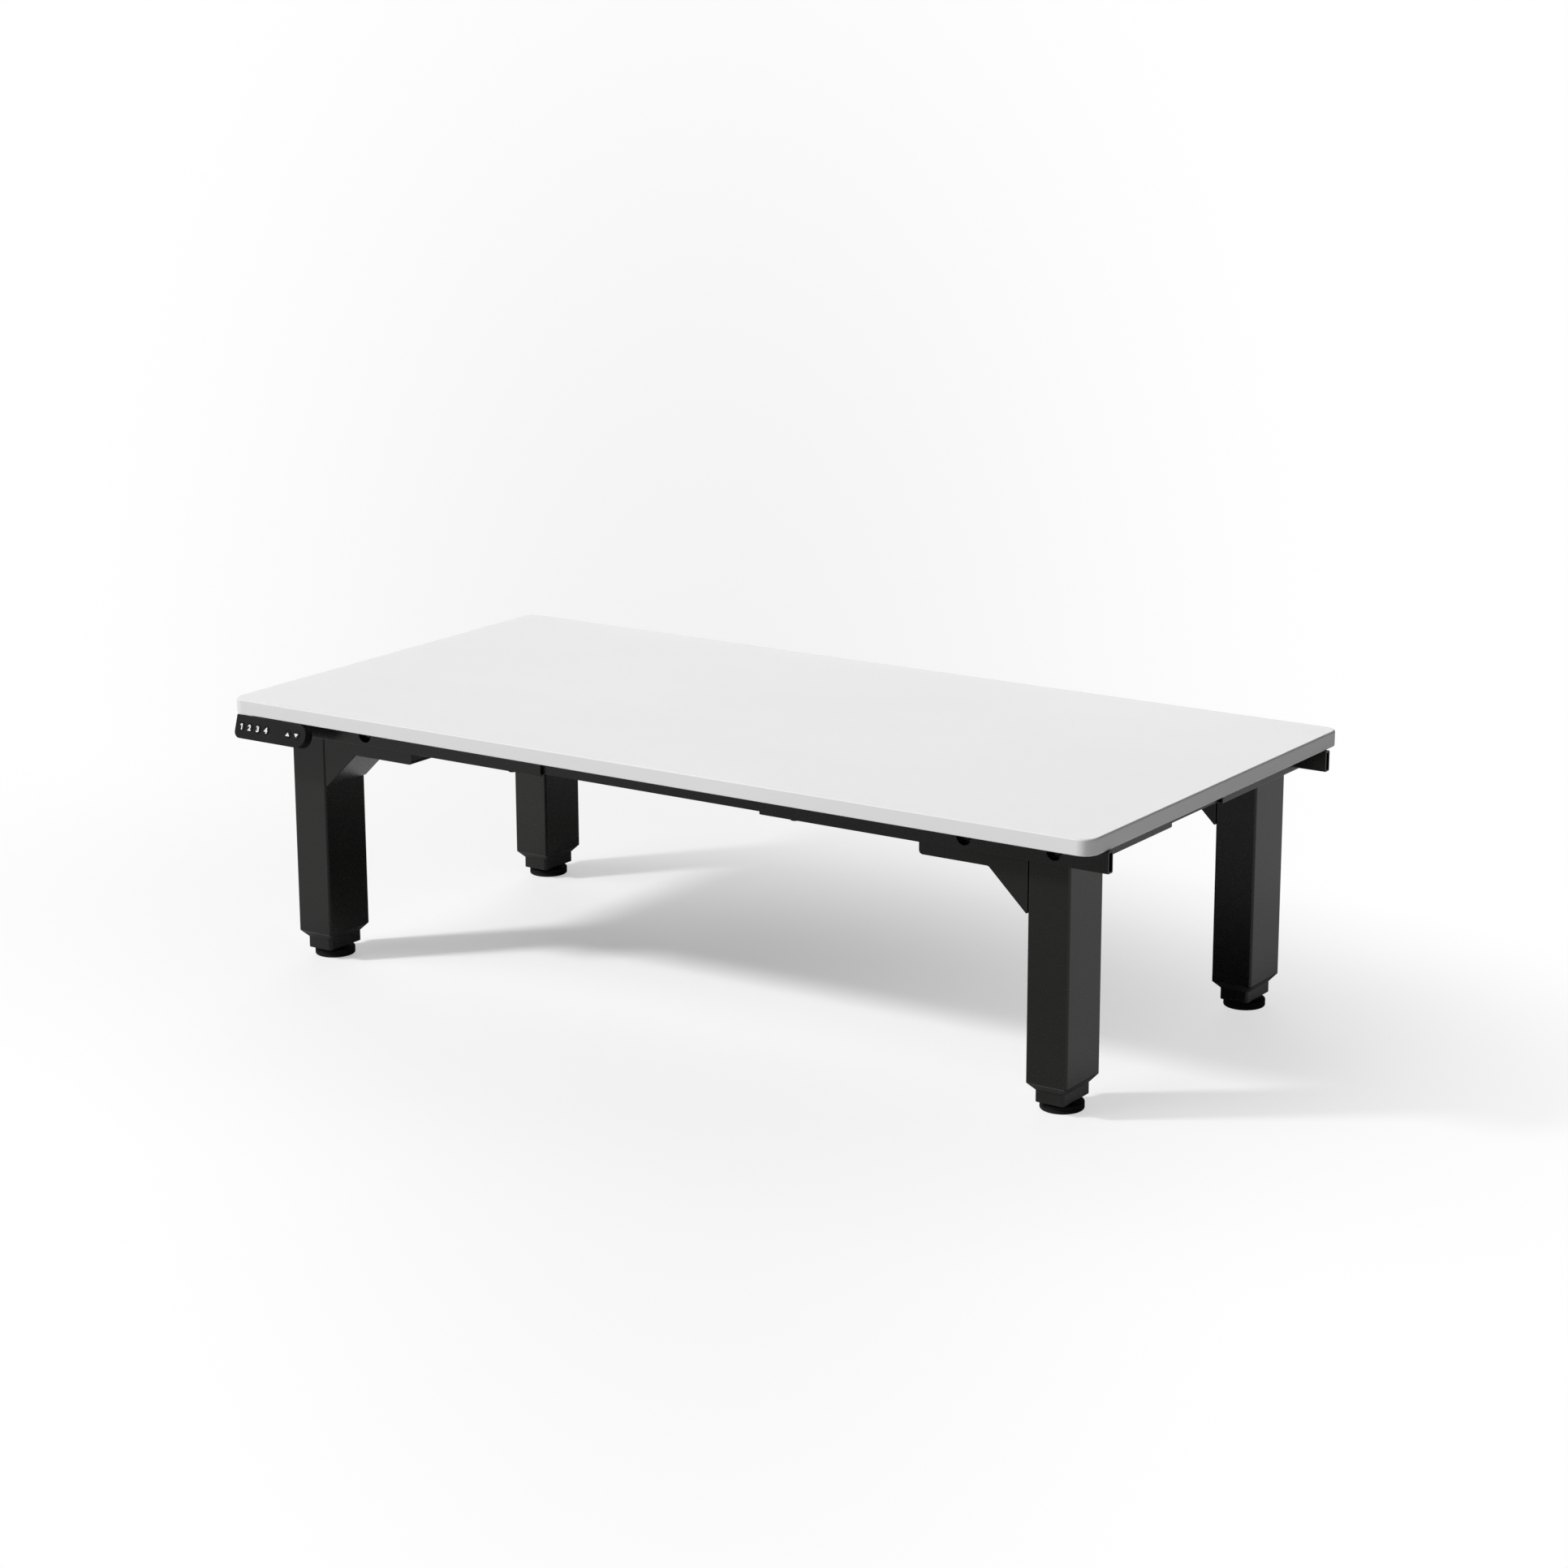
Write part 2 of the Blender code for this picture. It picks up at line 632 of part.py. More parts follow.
def make_side_rails():
    """Side rails: end tubes welded to the legs' side faces, with a channel between them."""
    for side, side_name in ((-1, "left"), (1, "right")):
        face = side * SIDE_FACE
        back = side * (SIDE_FACE - SIDE_RAIL_DEPTH)
        web, lip = channel_faces(face, back, SIDE_CHANNEL_DEPTH)
        for row, row_name in ((-1, "front"), (1, "rear")):
            inner_end = row * SIDE_RAIL_OPENING / 2
            tube = rail_tube(face, back, inner_end, row * LEG_FACE_Y, "Y")
            tube = joined(tube, lock_screw((face + back) / 2, inner_end + row * LOCK_SCREW_INSET))
            keep(tube, f"side_rail_{side_name}_{row_name}", "black_powder_coat")
        reach = SIDE_RAIL_OPENING / 2 + MIDDLE_RAIL_OVERLAP
        keep(rail_channel(web, lip, reach, "Y"), f"side_rail_{side_name}_middle", "black_powder_coat")


def outer_tube(hand):
    """Leg's outer tube, slotted at the top for the motor, with a hole for its rail bolt."""
    outside = rectangle(TUBE_WIDTH, TUBE_DEPTH, TUBE_CORNER_RADIUS)
    bore = rectangle(BORE_WIDTH, BORE_DEPTH, BORE_RADIUS)
    tube = cut(
        prism(outside, TUBE_FLOOR_CLEARANCE, FRAME_TOP),
        prism(bore, TUBE_FLOOR_CLEARANCE - OVERRUN, FRAME_TOP + OVERRUN),
    )
    radius = MOTOR_DIAMETER / 2 + MOTOR_SLOT_CLEARANCE
    wall = sorted((hand * (BORE_WIDTH / 2 - OVERRUN), hand * (TUBE_WIDTH / 2 + OVERRUN)))
    bottom = MOTOR_Z - radius
    mouth = FRAME_TOP + OVERRUN
    corners = [(-radius, bottom, radius - WELD), (radius, bottom, radius - WELD)]
    corners += [(radius, mouth, 0.0), (-radius, mouth, 0.0)]
    slot = prism(filleted(corners, WIDE_CORNER_STEPS), *wall, "X")
    spot = (-hand * TUBE_BOLT_OFFSET, BOLT_Z)
    bolt = cylinder(BOLT_HOLE, -TUBE_DEPTH / 2 - OVERRUN, -BORE_DEPTH / 2 + OVERRUN, "Y", spot, SCREW_STEPS)
    return cut(tube, slot, bolt)


def motor_housing(hand):
    """Bent-sheet arm beside the tube: a tray with a gusset below and a screw tab at its end."""
    slope = GUSSET_DROP / GUSSET_RUN
    gusset_end = ARM_START + GUSSET_RUN
    lift = ARM_SHEET * math.hypot(1.0, slope)
    cavity_end = ARM_REACH - ARM_SHEET
    cavity_floor = ARM_BOTTOM + ARM_SHEET
    cavity_start = ARM_START - OVERRUN
    cavity_top = FRAME_TOP + OVERRUN
    slope_level = ARM_BOTTOM - (gusset_end - cavity_start) * slope + lift
    floor_start = gusset_end - (lift - ARM_SHEET) / slope
    outside = [
        (ARM_START, ARM_BOTTOM - GUSSET_DROP, 0.0), (ARM_START, FRAME_TOP, 0.0), (ARM_REACH, FRAME_TOP, 0.0),
        (ARM_REACH, ARM_BOTTOM, ARM_CORNER_RADIUS), (gusset_end, ARM_BOTTOM, 0.0),
    ]
    inside = [
        (cavity_start, slope_level, 0.0), (cavity_start, cavity_top, 0.0), (cavity_end, cavity_top, 0.0),
        (cavity_end, cavity_floor, ARM_CORNER_RADIUS - ARM_SHEET), (floor_start, cavity_floor, 0.0),
    ]
    half = TUBE_DEPTH / 2
    walls = [filleted([(hand * u, v, r) for u, v, r in corners]) for corners in (outside, inside)]
    tray = cut(
        prism(walls[0], -half, half, "Y"),
        prism(walls[1], -half + ARM_SHEET, half - ARM_SHEET, "Y"),
    )
    tab_end = hand * (ARM_REACH + ARM_TAB_LENGTH)
    tab = block(
        (hand * (ARM_REACH - ARM_SHEET / 2), tab_end),
        (-ARM_TAB_WIDTH / 2, ARM_TAB_WIDTH / 2),
        (FRAME_TOP - ARM_SHEET, FRAME_TOP),
    )
    spot = (hand * ARM_BOLT_OFFSET, BOLT_Z)
    hole = cylinder(BOLT_HOLE, -half - OVERRUN, -half + ARM_SHEET + OVERRUN, "Y", spot, SCREW_STEPS)
    screw_x = hand * (ARM_REACH + ARM_TAB_LENGTH / 2)
    screws = [wood_screw(screw_x, y, FRAME_TOP - ARM_SHEET) for y in tab_screw_rows()]
    return joined(cut(tray, hole), tab, *screws)


def gear_motor(hand):
    """Gearbox in the tube's head with its motor lying along the arm and a socket for the spindle."""
    half_width = BORE_WIDTH / 2 - SEAT_GAP
    half_depth = BORE_DEPTH / 2 - GEARBOX_SIDE_GAP
    gearbox_top = GEARBOX_BOTTOM + GEARBOX_HEIGHT
    gearbox = block((-half_width, half_width), (-half_depth, half_depth), (GEARBOX_BOTTOM, gearbox_top))
    gearbox = softened(gearbox, GEARBOX_ROUNDING, 1)
    can_end = ARM_REACH - ARM_SHEET - MOTOR_END_GAP
    boss_end = can_end + MOTOR_BOSS_LENGTH
    axis = (0.0, MOTOR_Z)
    spans = (
        (MOTOR_DIAMETER / 2, half_width - OVERRUN * 2, can_end),
        (MOTOR_BOSS_DIAMETER / 2, can_end - OVERRUN, boss_end),
    )
    rounds = [cylinder(r, *sorted((hand * a, hand * b)), "X", axis, ROUND_STEPS) for r, a, b in spans]
    hub = cylinder(HUB_DIAMETER / 2, HUB_BOTTOM, GEARBOX_BOTTOM + OVERRUN)
    socket = cylinder(SPINDLE_BORE, HUB_BOTTOM - OVERRUN, HUB_BOTTOM + HUB_SOCKET_DEPTH)
    return cut(joined(gearbox, *rounds, hub), socket)


def guide_collar():
    """Tapered collar at the tube's mouth, with the sleeve that guides the inner tube."""
    bore_width = INNER_WIDTH + 2 * SLIDE_GAP
    bore_depth = INNER_DEPTH + 2 * SLIDE_GAP
    bore_radius = INNER_CORNER_RADIUS + SLIDE_GAP
    brim = TUBE_FLOOR_CLEARANCE - SEAT_GAP
    lip = TUBE_FLOOR_CLEARANCE - COLLAR_HEIGHT
    sleeve_top = TUBE_FLOOR_CLEARANCE + COLLAR_SLEEVE
    taper = loft([
        (rectangle(bore_width + 2 * COLLAR_LIP, bore_depth + 2 * COLLAR_LIP, bore_radius + COLLAR_LIP), lip),
        (rectangle(TUBE_WIDTH, TUBE_DEPTH, TUBE_CORNER_RADIUS), brim),
    ])
    sleeve_outline = rectangle(BORE_WIDTH - 2 * SEAT_GAP, BORE_DEPTH - 2 * SEAT_GAP, BORE_RADIUS)
    sleeve = prism(sleeve_outline, brim - OVERRUN, sleeve_top)
    bore = prism(rectangle(bore_width, bore_depth, bore_radius), lip - OVERRUN, sleeve_top + OVERRUN)
    return cut(joined(taper, sleeve), bore)


def inner_tube():
    """Sliding tube, closed below by a plate that takes the levelling foot's stud."""
    outline = rectangle(INNER_WIDTH, INNER_DEPTH, INNER_CORNER_RADIUS)
    radius = INNER_CORNER_RADIUS - INNER_WALL
    bore_outline = rectangle(INNER_WIDTH - 2 * INNER_WALL, INNER_DEPTH - 2 * INNER_WALL, radius)
    plate_top = INNER_BOTTOM + INNER_END_PLATE
    bore = prism(bore_outline, plate_top, INNER_TOP + OVERRUN)
    stud_hole = cylinder(STUD_DIAMETER / 2 + SLIDE_GAP, INNER_BOTTOM - OVERRUN, plate_top + OVERRUN)
    return cut(prism(outline, INNER_BOTTOM, INNER_TOP), bore, stud_hole)


def spindle_nut():
    """Nut plugged into the inner tube's head, with a flange that slides in the outer tube."""
    flange_bottom = NUT_TOP - NUT_FLANGE
    flange_outline = rectangle(BORE_WIDTH - 2 * SLIDE_GAP, BORE_DEPTH - 2 * SLIDE_GAP, BORE_RADIUS)
    plug_width = INNER_WIDTH - 2 * (INNER_WALL + SEAT_GAP)
    plug_depth = INNER_DEPTH - 2 * (INNER_WALL + SEAT_GAP)
    plug_outline = rectangle(plug_width, plug_depth, INNER_CORNER_RADIUS - INNER_WALL)
    flange = prism(flange_outline, flange_bottom, NUT_TOP)
    plug = prism(plug_outline, NUT_BOTTOM, flange_bottom + NUT_FLANGE / 2)
    bore = cylinder(SPINDLE_BORE, NUT_BOTTOM - OVERRUN, NUT_TOP + OVERRUN)
    return cut(joined(flange, plug), bore)


def spindle():
    """Lift screw that hangs in the column from the gearbox."""
    radius = SPINDLE_DIAMETER / 2
    tip = radius - SPINDLE_CHAMFER
    profile = [
        (0.0, SPINDLE_TOP), (tip, SPINDLE_TOP), (radius, SPINDLE_TOP - SPINDLE_CHAMFER),
        (radius, SPINDLE_BOTTOM + SPINDLE_CHAMFER), (tip, SPINDLE_BOTTOM), (0.0, SPINDLE_BOTTOM),
    ]
    return turned(profile, HOLE_STEPS)


def levelling_foot():
    """Round foot with a neck below the leg and a stud up into its end plate."""
    pad = FOOT_DIAMETER / 2
    neck = FOOT_NECK_DIAMETER / 2
    neck_top = FOOT_THICKNESS + FOOT_NECK_HEIGHT
    stud = STUD_DIAMETER / 2
    profile = [(0.0, STUD_TOP), (stud, STUD_TOP), (stud, neck_top), (neck, neck_top), (neck, FOOT_THICKNESS)]
    profile.append((pad - FOOT_ROUNDING, FOOT_THICKNESS))
    profile.append((pad, FOOT_THICKNESS - FOOT_ROUNDING))
    profile.append((pad, FOOT_ROUNDING))
    profile.append((pad - FOOT_ROUNDING, 0.0))
    profile.append((0.0, 0.0))
    return turned(profile, ROUND_STEPS)


def make_legs():
    """The four columns: left- and right-hand pieces, and those that are alike on every leg."""
    axes = {name: empty(f"{name}_axis", leg_frame(side, row)) for name, side, row in LEGS}
    for axis in axes.values():
        axis["stroke_m"] = STROKE
    for hand in (-1, 1):
        same_hand = {name: axes[name] for name, side, row in LEGS if inward(side, row) == hand}
        handed = (
            (outer_tube, "black_powder_coat"), (motor_housing, "black_powder_coat"),
            (gear_motor, "motor_steel"),
        )
        for make, finish in handed:
            shape = make(hand)
            copies(shape.data, make.__name__, finish, same_hand)
            bpy.data.objects.remove(shape)
    alike = (
        (guide_collar, "black_plastic"), (inner_tube, "black_powder_coat"), (spindle_nut, "nut_plastic"),
        (spindle, "spindle_steel"), (levelling_foot, "black_rubber"),
    )
    for make, finish in alike:
        shape = make()
        copies(shape.data, make.__name__, finish, axes)
        bpy.data.objects.remove(shape)


def handset_outline(inset):
    """The handset's face: square at the top left, small arc below it, half round at the right."""
    left = -HANDSET_LENGTH / 2 + inset
    right = HANDSET_LENGTH / 2 - inset
    top = -inset
    bottom = -HANDSET_HEIGHT + inset
    round_end = (top - bottom) / 2 - WELD
    corners = [(left, bottom, HANDSET_CORNER_RADIUS - inset), (right, bottom, round_end)]
    corners += [(right, top, round_end), (left, top, 0.0)]
    return filleted(corners, WIDE_CORNER_STEPS)


def button_places():
    """Name and place along the face of each button."""
    left = -HANDSET_LENGTH / 2 + FIRST_BUTTON_INSET
    right = HANDSET_LENGTH / 2 - LAST_BUTTON_INSET
    number_pitch = BUTTON_FLANGE_DIAMETER + NUMBER_BUTTON_SPACING
    arrow_pitch = BUTTON_FLANGE_DIAMETER + ARROW_BUTTON_SPACING
    places = [(f"button_{number + 1}", left + number * number_pitch) for number in range(4)]
    return places + [("button_up", right - arrow_pitch), ("button_down", right)]


def make_handset():
    """Tilted control panel: case, circuit board with a switch per button, bracket and buttons."""
    face = empty("handset_face", handset_frame())
    middle = -HANDSET_HEIGHT / 2
    cavity_outline = handset_outline(HANDSET_WALL)
    case = softened(prism(handset_outline(0.0), 0.0, HANDSET_THICKNESS, "Y"), HANDSET_EDGE_ROUNDING, 1)
    cavity = prism(cavity_outline, HANDSET_WALL, HANDSET_THICKNESS + OVERRUN, "Y")
    hole = BUTTON_DIAMETER / 2 + SLIDE_GAP
    holes = [
        cylinder(hole, -OVERRUN, HANDSET_WALL + OVERRUN / 2, "Y", (x, middle)) for _, x in button_places()
    ]
    keep(cut(case, cavity, gathered(holes)), "handset_case", "handset_plastic", face)

    board_outline = handset_outline(HANDSET_WALL + SEAT_GAP)
    board = prism(board_outline, BOARD_DEPTH_IN_CASE, BOARD_DEPTH_IN_CASE + BOARD_THICKNESS, "Y")
    switch_front = BOARD_DEPTH_IN_CASE - SWITCH_HEIGHT
    half = SWITCH_SIZE / 2
    for _, x in button_places():
        depth = (switch_front, BOARD_DEPTH_IN_CASE + BOARD_THICKNESS / 2)
        board = joined(board, block((x - half, x + half), depth, (middle - half, middle + half)))
    keep(board, "handset_board", "board_laminate", face)

    flange_front = HANDSET_WALL + SEAT_GAP
    flange_back = flange_front + BUTTON_FLANGE_THICKNESS
    stem_end = switch_front - BUTTON_TRAVEL - BUTTON_TRAVEL_SPARE
    cap = BUTTON_DIAMETER / 2
    flange = BUTTON_FLANGE_DIAMETER / 2
    stem = BUTTON_STEM_DIAMETER / 2
    profile = [
        (0.0, BUTTON_PROUD), (cap - BUTTON_PROUD / 2, BUTTON_PROUD), (cap, BUTTON_PROUD / 2),
        (cap, -flange_front), (flange, -flange_front), (flange, -flange_back),
        (stem, -flange_back), (stem, -stem_end), (0.0, -stem_end),
    ]
    button = moved(turned(profile, HOLE_STEPS), Matrix.Rotation(math.pi / 2, 4, "X"))
    for name, x in button_places():
        keep(shape_of(button.data), name, "handset_plastic", face).location = (x, 0.0, middle)
    bpy.data.objects.remove(button)
    make_bracket()


def make_bracket():
    """Bent plate that closes the handset's back and carries it under the top."""
    frame = handset_frame()
    plate_front = HANDSET_THICKNESS + SEAT_GAP
    plate_back = plate_front + BRACKET_SHEET
    foot = -HANDSET_HEIGHT + HANDSET_WALL
    slant = math.tan(HANDSET_TILT)
    flange_bottom = FRAME_TOP - BRACKET_SHEET
    heel = bracket_heel()
    crease = heel - BRACKET_SHEET * slant
    toe = heel - BRACKET_SHEET / math.cos(HANDSET_TILT)
    low_front = frame @ Vector((0.0, plate_front, foot))
    low_back = frame @ Vector((0.0, plate_back, foot))
    section = [
        (low_front.y, low_front.z), (low_back.y, low_back.z), (crease, flange_bottom),
        (BRACKET_END, flange_bottom), (BRACKET_END, FRAME_TOP), (toe, FRAME_TOP),
    ]
    bracket = prism(section, HANDSET_X - BRACKET_LENGTH / 2, HANDSET_X + BRACKET_LENGTH / 2, "X")
    screws = [wood_screw(x, y, flange_bottom) for x, y in bracket_screw_places()]
    keep(joined(bracket, *screws), "handset_bracket", "black_powder_coat")


def make_control_box():
    """Case with its sockets and mains inlet at the back, hung from a plate under the top."""
    plate_bottom = FRAME_TOP - CONTROL_PLATE_SHEET
    case_top = plate_bottom - SEAT_GAP
    case_bottom = UNDERSIDE - CONTROL_BOX_DROP
    centre = (0.0, CONTROL_BOX_Y)
    back = CONTROL_BOX_BACK
    plate_length = CONTROL_BOX_LENGTH + 2 * CONTROL_PLATE_EAR
    radius = CONTROL_BOX_CORNER_RADIUS
    plate = prism(rectangle(plate_length, CONTROL_BOX_WIDTH, radius, centre), plate_bottom, FRAME_TOP)
    screws = [wood_screw(x, y, plate_bottom) for x, y in plate_screw_places()]
    keep(joined(plate, *screws), "control_box_plate", "black_powder_coat")

    shell = prism(rectangle(CONTROL_BOX_LENGTH, CONTROL_BOX_WIDTH, radius, centre), case_bottom, case_top)
    shell = softened(shell, CONTROL_BOX_ROUNDING, 1)
    inside = rectangle(
        CONTROL_BOX_LENGTH - 2 * CONTROL_BOX_WALL, CONTROL_BOX_WIDTH - 2 * CONTROL_BOX_WALL,
        radius - CONTROL_BOX_WALL, centre,
    )
    cavity = prism(inside, case_bottom + CONTROL_BOX_WALL, case_top + OVERRUN)
    level = (case_bottom + case_top) / 2
    wall = (back - CONTROL_BOX_WALL - OVERRUN, back + OVERRUN)
    inlet_x = -CONTROL_BOX_LENGTH / 2 + INLET_END_INSET
    openings = [prism(rectangle(INLET_WIDTH, INLET_HEIGHT, 0.0, (inlet_x, level)), *wall, "Y")]
    for number in range(SOCKET_COUNT):
        x = CONTROL_BOX_LENGTH / 2 - SOCKET_END_INSET - number * SOCKET_PITCH
        openings.append(prism(rectangle(SOCKET_WIDTH, SOCKET_HEIGHT, 0.0, (x, level)), *wall, "Y"))
    keep(cut(shell, cavity, gathered(openings)), "control_box_case", "black_plastic")

    width = INLET_WIDTH - 2 * SEAT_GAP
    height = INLET_HEIGHT - 2 * SEAT_GAP
    insert = prism(rectangle(width, height, 0.0, (inlet_x, level)), back - INLET_DEPTH, back, "Y")
    recess_outline = rectangle(width - 2 * INLET_RIM, height - 2 * INLET_RIM, INLET_RIM, (inlet_x, level))
    insert = cut(insert, prism(recess_outline, back - INLET_RECESS, back + OVERRUN, "Y"))
    blade_width, blade_height = INLET_BLADE
    floor = back - INLET_RECESS
    blades = []
    for number in (-1, 0, 1):
        outline = rectangle(blade_width, blade_height, 0.0, (inlet_x + number * INLET_BLADE_PITCH, level))
        blades.append(prism(outline, floor - OVERRUN, floor + INLET_BLADE_LENGTH, "Y"))
    keep(joined(insert, gathered(blades)), "mains_inlet", "black_plastic")


clear_scene()
finishes = make_finishes()
desk = make_collection("low_desk")
make_top()
make_long_rails()
make_side_rails()
make_legs()
make_handset()
make_control_box()
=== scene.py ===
"""Looks of a low desk: a white board on four black telescopic legs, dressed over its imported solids."""
import math

import bmesh
import bpy
import numpy as np
from mathutils import Matrix, Vector


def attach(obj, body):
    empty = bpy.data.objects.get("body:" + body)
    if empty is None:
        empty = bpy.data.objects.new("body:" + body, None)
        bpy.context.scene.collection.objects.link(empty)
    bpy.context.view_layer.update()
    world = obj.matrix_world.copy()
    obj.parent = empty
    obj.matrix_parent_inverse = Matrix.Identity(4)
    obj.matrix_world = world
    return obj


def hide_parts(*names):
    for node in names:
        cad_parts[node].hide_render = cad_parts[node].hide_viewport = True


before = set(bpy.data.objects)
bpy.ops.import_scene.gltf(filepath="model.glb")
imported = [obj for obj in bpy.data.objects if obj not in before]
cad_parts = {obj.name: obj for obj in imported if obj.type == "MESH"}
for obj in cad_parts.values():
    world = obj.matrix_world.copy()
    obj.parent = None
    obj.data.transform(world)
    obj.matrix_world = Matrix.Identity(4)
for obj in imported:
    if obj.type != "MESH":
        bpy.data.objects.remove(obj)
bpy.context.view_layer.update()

# Camera that takes the photograph's view
CAMERA_PLACE = (2.3791, -3.5058, 1.3442)
CAMERA_AZIMUTH = 0.5945
CAMERA_TILT = 0.2537
CAMERA_ROLL = -0.0035
CAMERA_LENS = 82.95
CAMERA_SENSOR = 36.0

# Board
BOARD_LENGTH = 1.210
BOARD_SHIFT = -0.005
BOARD_DEPTH = 0.600
BOARD_THICKNESS = 0.019
BOARD_CORNER = 0.018
BOARD_UPPER_EDGE = 0.0025
BOARD_LOWER_EDGE = 0.0012
DESK_HEIGHT = 0.334
UNDERSIDE = DESK_HEIGHT - BOARD_THICKNESS
GAP = 0.0003
SLIDE = 0.0004
FRAME_TOP = UNDERSIDE - GAP

# Rails
RAIL_HEIGHT = 0.0247
RAIL_WALL = 0.0018
RAIL_CORNER = 0.0015
RAIL_BORE_CORNER = 0.0005
RAIL_BOTTOM = FRAME_TOP - RAIL_HEIGHT
FRONT_FACE = 0.267
FRONT_DEPTH = 0.01045
FRONT_END = 0.603
FRONT_START = 0.1555
FRONT_REACH = 0.2555
FRONT_CHANNEL = 0.0035
SIDE_FACE = 0.5695
SIDE_DEPTH = 0.01815
SIDE_END = 0.25625
SIDE_START = 0.061
SIDE_REACH = 0.161
SIDE_CHANNEL = 0.0112
CHANNEL_WALL = 0.0014
CHANNEL_BEND = 0.0006
CUT_EDGE = 0.0003
SHEET_CORNER = 0.0005
HOLE_RADIUS = 0.00925
HOLE_FLARE = 0.0004
HOLE_PLACES = (0.42405, 0.53655)
BOLT_DROP = 0.0105
BOLT_Z = UNDERSIDE - BOLT_DROP
BOLT_RADIUS = 0.0055
BOLT_HEIGHT = 0.0032
LOCK_INSET = 0.045
LOCK_RADIUS = 0.005
LOCK_HEIGHT = 0.001

# Legs
LEG_X = 0.52505
LEG_Y = 0.21925
TUBE_WIDTH = 0.052
TUBE_DEPTH = 0.074
TUBE_CORNER = 0.003
TUBE_WALL = 0.002
TUBE_BOTTOM = 0.035
ARM_START = TUBE_WIDTH / 2 + GAP
ARM_REACH = 0.165
ARM_BOTTOM = 0.273
ARM_CORNER = 0.005
ARM_SHEET = 0.0015
ARM_BEND = 0.0012
ARM_EDGE = 0.0015
GUSSET_RUN = 0.050
GUSSET_DROP = 0.048
TAB_LENGTH = 0.022
TAB_WIDTH = 0.044
TAB_SCREW = 0.012
TAB_CORNER = 0.004
MOTOR_Z = 0.2945
MOTOR_SLOT = 0.0176
SLOT_ROUND = 0.999
INNER_WIDTH = 0.037
INNER_DEPTH = 0.059
INNER_CORNER = 0.004
INNER_WALL = 0.0018
INNER_BOTTOM = 0.012
INNER_TOP = 0.2622
INNER_PLATE = 0.006
INNER_EDGE = 0.0006
COLLAR_LIP = 0.001
COLLAR_LOW = 0.0265
COLLAR_TOP = 0.067
COLLAR_EASE = 0.0005
SPINDLE_RADIUS = 0.006
SPINDLE_LOW = 0.0795
SPINDLE_HIGH = 0.2862
SPINDLE_PITCH = 0.006
THREAD_DEPTH = 0.0009
THREAD_FLANK = (2.4, 0.7)
FOOT_RADIUS = 0.025
FOOT_HEIGHT = 0.0095
FOOT_ROUND = 0.0018
FOOT_NECK = 0.012
FOOT_NECK_TOP = 0.0117
NECK_FILLET = (0.0008, 0.0006)
NECK_EDGE = 0.0005
GROOVE_DEPTH = 0.0004
GROOVE_FLOOR = 0.0004
GROOVE_MOUTH = 0.0008
STUD_RADIUS = 0.005
STUD_TOP = 0.0337
STUD_PITCH = 0.0015
STUD_THREAD = 0.0007

# Button panel
PANEL_PLACE = (-0.5433, -0.2995, FRAME_TOP)
PANEL_TILT = math.radians(17)
PANEL_LENGTH = 0.114
PANEL_HEIGHT = 0.0292
PANEL_THICKNESS = 0.0125
PANEL_WALL = 0.0016
PANEL_CORNER = 0.0085
PANEL_EDGE = 0.0009
PANEL_BACK = 0.0112
PANEL_END = 0.985
BUTTON_RADIUS = 0.0049
BUTTON_FLANGE = 0.0056
BUTTON_PROUD = 0.0006
BUTTON_EDGE = 0.0003
BUTTON_STEM = 0.0016
STEM_END = -0.0045
FLANGE_THICKNESS = 0.0008
DISH_RING = 0.7
DISH_DEPTHS = (0.00012, 0.00008)
BORE_FLARE = 0.0012
BORE_LEVELS = (-0.003, -0.0002, 0.001)
BUTTON_PLACES = {
    "button_1": -0.0467, "button_2": -0.0334, "button_3": -0.0201, "button_4": -0.0068,
    "button_up": 0.0285, "button_down": 0.0421,
}
LEGEND_HEIGHT = 0.0068
LEGEND_BOLD = 0.0004
LEGEND_CORNER = 0.0002
LEGEND_THICKNESS = 0.00008
NUMERAL_HEIGHT = 0.7
ONE_BAR = (0.0002, 0.0018)
ONE_FLAG = (-0.0017, 0.0011, 0.0027)
ARROW = (0.0067, 0.0045)
BRACKET_SHEET = 0.002
BRACKET_GAP = 0.001
BRACKET_INSET = 0.014
BRACKET_SCREW = 0.012

# Control box
BOX_LENGTH = 0.230
BOX_WIDTH = 0.095
BOX_BACK = 0.16855
BOX_Y = BOX_BACK - BOX_WIDTH / 2
BOX_DROP = 0.0365
BOX_BOTTOM = UNDERSIDE - BOX_DROP
PLATE_SHEET = 0.002
PLATE_EAR = 0.016
BOX_TOP = FRAME_TOP - PLATE_SHEET - GAP
BOX_WALL = 0.002
BOX_CORNER = 0.008
BOX_EDGE = 0.003
BOX_INNER_EDGE = 0.001
SOCKET = (0.0135, 0.011, 0.0006)
SOCKET_START = 0.088
SOCKET_STEP = 0.021
SOCKETS = 5
VENT = (0.0024, 0.034, 0.0011)
VENT_START = 0.062
VENT_STEP = 0.006
VENTS = 7
INLET_X = -0.075
INLET_WIDTH = 0.027
INLET_HEIGHT = 0.020
INLET_CORNER = 0.0004
INLET_DEPTH = 0.014
INLET_RIM = 0.002
RECESS_CORNER = 0.003
RECESS_DEPTH = 0.010
BLADE = (0.002, 0.004, 0.0006)
BLADE_STEP = 0.007
BLADE_INSET = 0.002
BLADE_TIP = 0.0004

